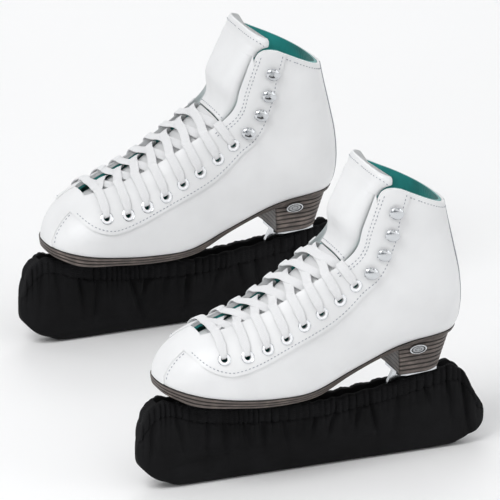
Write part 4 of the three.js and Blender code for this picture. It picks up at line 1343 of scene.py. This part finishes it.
class SKATE_OT_lace(bpy.types.Operator):
    """Builds the flat laces, crossed through the eyelets"""

    bl_idname = "skate.lace"
    bl_label = "Laces"

    LEAN = 0.05  # how far towards the collar the lace runs before the facing's edge, in stations
    DIP = -2.4  # where two laces cross, below the boot's front line

    def execute(self, context):
        sizes = context.scene.skate_lace
        self.width, self.thick = mm(sizes.width), mm(sizes.thickness)
        upper, lining, facing, _ = leather_sizes()
        self.over = FIT + facing + 1.75
        self.under = -(upper + FIT + lining + 1.5)
        runs = [self.bar()]
        for k in range(len(EYELETS) - 1):
            for side in SIDES:
                runs.append(self.crossing(side, k))
        install(softened(together(runs), 70), "flat_lace", BOOT, finishes()["lace"], ["lace"])
        for side, word in zip(SIDES, ("outer", "inner")):
            rise = self.rise(side, len(EYELETS) - 1, 0.9)
            s, psi = rise[-1][0], rise[-1][1]
            rise.append([s + 0.02, 0.86 * psi, self.over - 2.2, self.width * 0.96])
            end = self.ribbon(rise)
            install(softened(end, 70), f"{word}_lace_tuck", BOOT, finishes()["lace"], [f"{word}_lace_end"])
        return {"FINISHED"}

    def rise(self, side, k, drop=0.0):
        """Knots from inside an eyelet up to the facing's edge."""
        s, psi = (float(v) for v in place_on_side(*EYELETS[k], side))
        edge = side * float(edge_psi(s + self.LEAN))
        over = self.over - drop
        return [
            [s, mix(psi, edge, 0.05), self.over - 4.6, 3.4],
            [s, mix(psi, edge, 0.06), over - 1.0, 4.4],
            [s + 0.1 * self.LEAN, mix(psi, edge, 0.2), over + 0.2, 6.4],
            [s + 0.4 * self.LEAN, mix(psi, edge, 0.38), over + 0.35, self.width],
            [s + 0.7 * self.LEAN, mix(psi, edge, 0.7), over + 0.45, self.width],
            [s + self.LEAN, 0.95 * edge, over, self.width],
        ]

    def bar(self):
        """The straight bar across the two lowest eyelets."""
        near, far = self.rise(-1, 0), self.rise(1, 0)
        s = near[-1][0]
        middle = [[s, 0.6 * near[-1][1], 0.6, self.width], [s, 0.0, 0.9, self.width],
                  [s, 0.6 * far[-1][1], 0.6, self.width]]
        return self.ribbon([*near, *middle, *far[::-1]])

    def crossing(self, side, k):
        """From eyelet k over the facing, across the tongue and under the other facing at eyelet k + 1."""
        rise = self.rise(side, k)
        s_edge, edge = rise[-1][0], rise[-1][1]
        s_next = float(place_on_side(*EYELETS[k + 1], -side)[0])
        far = -math.copysign(float(edge_psi(s_next)), edge)
        apart = 0.7 * side
        knots = [] if k == 0 else rise[:-1]
        start = [] if k == 0 else [[mix(s_edge, s_next, 0.02), 0.95 * edge, self.over, self.width]]
        return self.ribbon([
            *knots, *start,
            [mix(s_edge, s_next, 0.06), 0.82 * edge, 0.9, self.width],
            [mix(s_edge, s_next, 0.18), 0.55 * edge, self.DIP + 1.2 + apart, self.width],
            [mix(s_edge, s_next, 0.42), 0.0, self.DIP + 0.4 + apart, self.width],
            [mix(s_edge, s_next, 0.78), 0.6 * far, self.DIP - 1.2, self.width],
            [mix(s_edge, s_next, 0.95), 0.88 * far, self.under + 0.6, self.width],
            [s_next, 1.08 * far, self.under, self.width * 0.9],
        ])

    def ribbon(self, knots):
        """A flat lace through knots (s, psi, offset, width), soft at its edges and ribbed along UV."""
        line = smooth(knots, 7)
        s, psi, offset, width = line.T
        centre = skin(s, psi, offset)
        tangent = np.gradient(centre, axis=0)
        tangent /= np.linalg.norm(tangent, axis=1, keepdims=True)
        normal = skin_normal(s, psi)
        across = np.cross(normal, tangent)
        across /= np.linalg.norm(across, axis=1, keepdims=True)
        out = np.cross(tangent, across)
        turn = np.linspace(0, 2 * np.pi, 14, endpoint=False) - np.pi / 2
        flat_y = np.sign(np.cos(turn)) * np.abs(np.cos(turn)) ** 0.75
        flat_z = np.sign(np.sin(turn)) * np.abs(np.sin(turn)) ** 0.6
        rings = centre[:, None] + across[:, None] * (0.5 * width[:, None] * flat_y)[..., None]
        rings = rings + out[:, None] * (0.5 * self.thick * flat_z)[None, :, None]
        run = run_along(centre)
        uv = np.stack(np.broadcast_arrays(run[:, None], 0.5 * self.width * flat_y[None]), -1)
        return ring_mesh("lace", rings, uv)


COVER_TOP = smooth([
    (-153.6, 34), (-151.8, 47), (-146.5, 66), (-138, 75.6), (-129, 77), (-118, 74), (-100, 67.5), (-72, 63),
    (-40, 59.5), (0, 57.5), (32, 59.5), (73, 64), (110, 70.3), (125, 72.5), (131, 70.6), (137, 65), (143, 53),
    (149.5, 41), (156.5, 29), (158, 21.5),
], 10)
COVER_BOTTOM = smooth([
    (-153.6, 34), (-151.5, 22), (-142.5, 12), (-130, 4.5), (-116, 0.4), (-60, 0), (60, 0), (118, 0.4),
    (133, 2.5), (146, 8), (155, 15), (158, 21.5),
], 10)
HEM = smooth([
    (-190, 36), (-153.6, 42), (-147, 52), (-139, 60.6), (-130, 64), (-118, 61), (-100, 54.5), (-72, 50),
    (-40, 46.5), (0, 44.5), (32, 46.5), (73, 51), (110, 57.3), (124.7, 59.5), (131, 58), (138, 51.5),
    (145, 41), (152, 30), (190, 26),
], 6)


class SKATE_OT_cover(bpy.types.Operator):
    """Builds the gathered cloth blade covers and their elastic hems"""

    bl_idname = "skate.cover"
    bl_label = "Blade covers"

    TOE, HEEL = -153.6, 158.0

    def execute(self, context):
        self.sizes = context.scene.skate_cover
        whole = self.pouch()
        band = kept(whole, above(HEM))
        pouch = kept(whole, below(HEM, -FIT))
        install(softened(pouch, 70), "cloth_cover", COVER, finishes()["cloth"], ["guard"])
        install(softened(band, 70), "elastic_hem", COVER, finishes()["elastic"], ["guard_band"])
        return {"FINISHED"}

    def half_width(self, x, z):
        """Outer half width of the cloth at a place in side view, before its folds."""
        profile = np.interp(z, [0, 2, 5, 14, 42, 62, 79], [8, 9.6, 10.6, 11.3, 11.3, 9.2, 7.6])
        toe = np.clip((x - self.TOE) / 26, 0, 1)
        heel = np.clip((self.HEEL - x) / 24, 0, 1)
        return profile * (1 - (1 - toe) ** 2.6) ** 0.5 * (1 - (1 - heel) ** 2.6) ** 0.5

    def folds(self, x, z, side, over):
        """How far the cloth stands out of its even shape. over is its height above the hem's seam."""
        sizes = self.sizes
        rng = np.random.default_rng(sizes.seed + (3 if side > 0 else 0))
        pitch = mm(sizes.gather)
        slow = sum(rng.uniform(0.5, 1) * np.sin(x / rng.uniform(9, 21) + rng.uniform(0, 6.28))
                   for _ in range(3))
        gather = np.abs(np.sin(np.pi * (x / pitch + 0.45 * slow))) ** 0.6 - 0.6
        gather = gather * (1 + 0.35 * np.sin(x / 13 + side))
        near_hem = np.where(over > 0, ease(1 - (over - 11) / 5), np.exp(over / 8))
        fold = np.zeros_like(x)
        apart, wrinkles = 20, 6
        for centre in np.arange(-140, 150, apart):
            lean, start = rng.uniform(-0.3, 0.3), centre + rng.uniform(-7, 7)
            depth, fade = rng.uniform(0.5, 1.15), rng.uniform(24, 60)
            off = x - start - lean * (z - 45)
            crease = 0.55 * np.exp(-((off - 5) / 4.5) ** 2) + 0.4 * np.exp(-((off + 5) / 4.5) ** 2)
            crease -= np.exp(-((off / rng.uniform(1.5, 2.6)) ** 2))
            fold += depth * crease * ease(1 + over / fade)
        for _ in range(wrinkles):
            level, width = rng.uniform(8, 34), rng.uniform(2.5, 6)
            tilt, start = rng.uniform(-0.3, 0.3), rng.uniform(-120, 110)
            stretch = np.exp(-((x - start) / 30) ** 2)
            lie = np.exp(-((z - level - tilt * (x - start)) / width) ** 2)
            fold += rng.uniform(-0.5, 0.5) * stretch * lie
        seam = -0.9 * np.exp(-((over + 0.2) / 1.1) ** 2)
        bulge = 0.7 * np.exp(-((over - 6.5) / 4.5) ** 2) - 0.5 * ease(1 - np.abs(over + 6) / 10)
        even = mm(sizes.gather_depth) * gather * near_hem + seam + bulge
        return even + mm(sizes.fold_depth) * fold * ease(z / 9) * np.where(over > 0, 0.3, 1)

    def pouch(self):
        """One closed skin: up the outside, over the mouth, down the inside and back."""
        turn = np.linspace(0, np.pi, 430)
        x = mix(self.TOE, self.HEEL, 0.5 - 0.5 * np.cos(turn))
        x = mix(x, np.linspace(self.TOE, self.HEEL, len(x)), 0.72)
        top = np.interp(x, COVER_TOP[:, 0], COVER_TOP[:, 1])
        bottom = np.interp(x, COVER_BOTTOM[:, 0], COVER_BOTTOM[:, 1])
        ends = ease((np.abs(x) - 112) / 20) * ease((156 - np.abs(x)) / 12)
        top = top - 0.55 * (1 + np.sin(x / 2.1 + 2 * np.sin(x / 17)))
        bottom = bottom + ends * 0.9 * (1 + np.sin(x / 4.3 + np.sin(x / 9)))
        hem = np.interp(x, HEM[:, 0], HEM[:, 1])
        floor_line = [(-136, 90), (-134.5, 14), (-118, 3.0), (126, 3.0), (139.5, 8.5), (141, 90)]
        floor = np.interp(x, *np.array(floor_line, float).T)
        floor = np.clip(floor, bottom + 2.2, top - 0.4)
        climb = np.linspace(0, 1, 44)
        columns = []
        wall = mm(self.sizes.wall)
        for side in (1, -1):
            outer = []
            for share in climb:
                z = mix(bottom, top, share)
                round_low = np.minimum(1, np.sqrt(np.clip((z - bottom) / 2.4, 0, 1)) * 0.25 + 0.75)
                lip = np.sqrt(np.clip((top - z) / 1.2, 0, 1))
                width = self.half_width(x, z) * round_low
                proud = self.folds(x, z, side, z - hem) * np.minimum(width / 6, 1)
                width = np.maximum(width + proud, 0.3)
                width = width - (1 - lip) * np.minimum(1.0, 0.4 * width)
                outer.append(np.stack([x, side * width, z], 1))
            inner = []
            for share in np.linspace(1, 0, 16):
                z = mix(floor, top - 0.25, share)
                width = self.half_width(x, z)
                gap = np.clip(width - wall - 1.4, 2.4, 40)
                gap = mix(2.4, gap, ease(share * 1.6))
                gap = np.minimum(gap, width * 0.55)
                inner.append(np.stack([x, side * gap, z], 1))
            columns.append((outer, inner))
        (outer_far, inner_far), (outer_near, inner_near) = columns
        rings = np.stack([*outer_far, *inner_far, *inner_near[::-1], *outer_near[::-1]], 1)
        return ring_mesh("cover", rings)


class SKATE_OT_stage(bpy.types.Operator):
    """Sets the floor, the soft lights and the camera"""

    bl_idname = "skate.stage"
    bl_label = "Floor, lights and camera"

    def execute(self, context):
        stage = context.scene.skate_stage
        floor = bpy.data.objects.new("pale_floor", plan_slab(
            [(-4, -4), (4, -4), (4, 4), (-4, 4)], -0.02, -0.0005))
        context.scene.collection.objects.link(floor)
        f = Finish("pale_floor", tuple(stage.floor), 0.9)
        f.feed("Base Color", f.ramp(f.noise(f.place(), 3), (0.3, shade(tuple(stage.floor), 0.99)),
                                    (0.7, tuple(stage.floor))))
        floor.data.materials.append(f.material)

        world = bpy.data.worlds.new("soft_room")
        world.use_nodes = True
        self.light_room(world.node_tree, stage.light)
        context.scene.world = world
        context.scene.view_settings.view_transform = "Standard"
        target = Vector((0.001, 0, 0.1257))
        lamps = (("key", (-1.4, -0.9, 2.2), 1.3, 34), ("fill", (1.7, -1.6, 1.0), 1.8, 6),
                 ("back", (0.8, 1.9, 1.7), 1.4, 14))
        for name, place, width, power in lamps:
            lamp = bpy.data.objects.new(name, bpy.data.lights.new(name, "AREA"))
            lamp.data.size = width
            lamp.data.energy = power * stage.light
            lamp.location = place
            lamp.rotation_euler = (target - Vector(place)).to_track_quat("-Z", "Y").to_euler()
            context.scene.collection.objects.link(lamp)

        self.set_camera(context, stage, target)
        return {"FINISHED"}

    @staticmethod
    def light_room(tree, strength):
        """A pale room with broad soft dark patches, which polished metal reflects."""
        place = add_node(tree, "ShaderNodeTexCoord").outputs["Generated"]
        patches = add_node(tree, "ShaderNodeTexNoise", {"Vector": place, "Scale": 2.6, "Detail": 1})
        ramp = add_node(tree, "ShaderNodeValToRGB", {"Fac": patches.outputs["Fac"]})
        dark, pale = ramp.color_ramp.elements
        dark.position, dark.color = 0.4, (0.16, 0.17, 0.19, 1)
        pale.position, pale.color = 0.56, (1.0, 1.0, 1.0, 1)
        background = tree.nodes["Background"]
        background.inputs["Strength"].default_value = strength
        tree.links.new(ramp.outputs["Color"], background.inputs["Color"])

    @staticmethod
    def set_camera(context, stage, target):
        turn, rise = stage.azimuth, stage.elevation
        back = Vector((math.sin(turn) * math.cos(rise), -math.cos(turn) * math.cos(rise), math.sin(rise)))
        camera = bpy.data.objects.new("camera", bpy.data.cameras.new("camera"))
        camera.data.lens = stage.lens
        camera.data.clip_end = 4 * stage.distance
        camera.location = target + stage.distance * back
        camera.rotation_euler = (-back).to_track_quat("-Z", "Y").to_euler()
        context.scene.collection.objects.link(camera)
        context.scene.camera = camera


GROUPS = {
    "skate_leather": SkateLeather, "skate_stitches": SkateStitches, "skate_lace": SkateLace,
    "skate_metal": SkateMetal, "skate_sole": SkateSole, "skate_cover": SkateCover, "skate_stage": SkateStage,
}
OPERATORS = (SKATE_OT_upper, SKATE_OT_panels, SKATE_OT_tongue, SKATE_OT_sole, SKATE_OT_metal, SKATE_OT_lace,
             SKATE_OT_cover, SKATE_OT_stage)


class SKATE_PT_panel(bpy.types.Panel):
    """Sizes, colours and steps of the skates"""

    bl_idname = "SKATE_PT_panel"
    bl_label = "Figure skates"
    bl_space_type = "VIEW_3D"
    bl_region_type = "UI"
    bl_category = "Skates"

    def draw(self, context):
        for name, group in GROUPS.items():
            box = self.layout.box()
            box.label(text=group.__doc__)
            for key in group.__annotations__:
                box.prop(getattr(context.scene, name), key)
        for operator in OPERATORS:
            self.layout.operator(operator.bl_idname)


def register():
    for group in GROUPS.values():
        bpy.utils.register_class(group)
    for name, group in GROUPS.items():
        setattr(bpy.types.Scene, name, PointerProperty(type=group))
    for cls in (*OPERATORS, SKATE_PT_panel):
        bpy.utils.register_class(cls)


def unregister():
    for cls in (*OPERATORS, SKATE_PT_panel):
        bpy.utils.unregister_class(cls)
    for name in GROUPS:
        delattr(bpy.types.Scene, name)
    for group in GROUPS.values():
        bpy.utils.unregister_class(group)


def main():
    register()
    for operator in OPERATORS:
        group, name = operator.bl_idname.split(".")
        getattr(getattr(bpy.ops, group), name)()


if __name__ == "__main__":
    main()
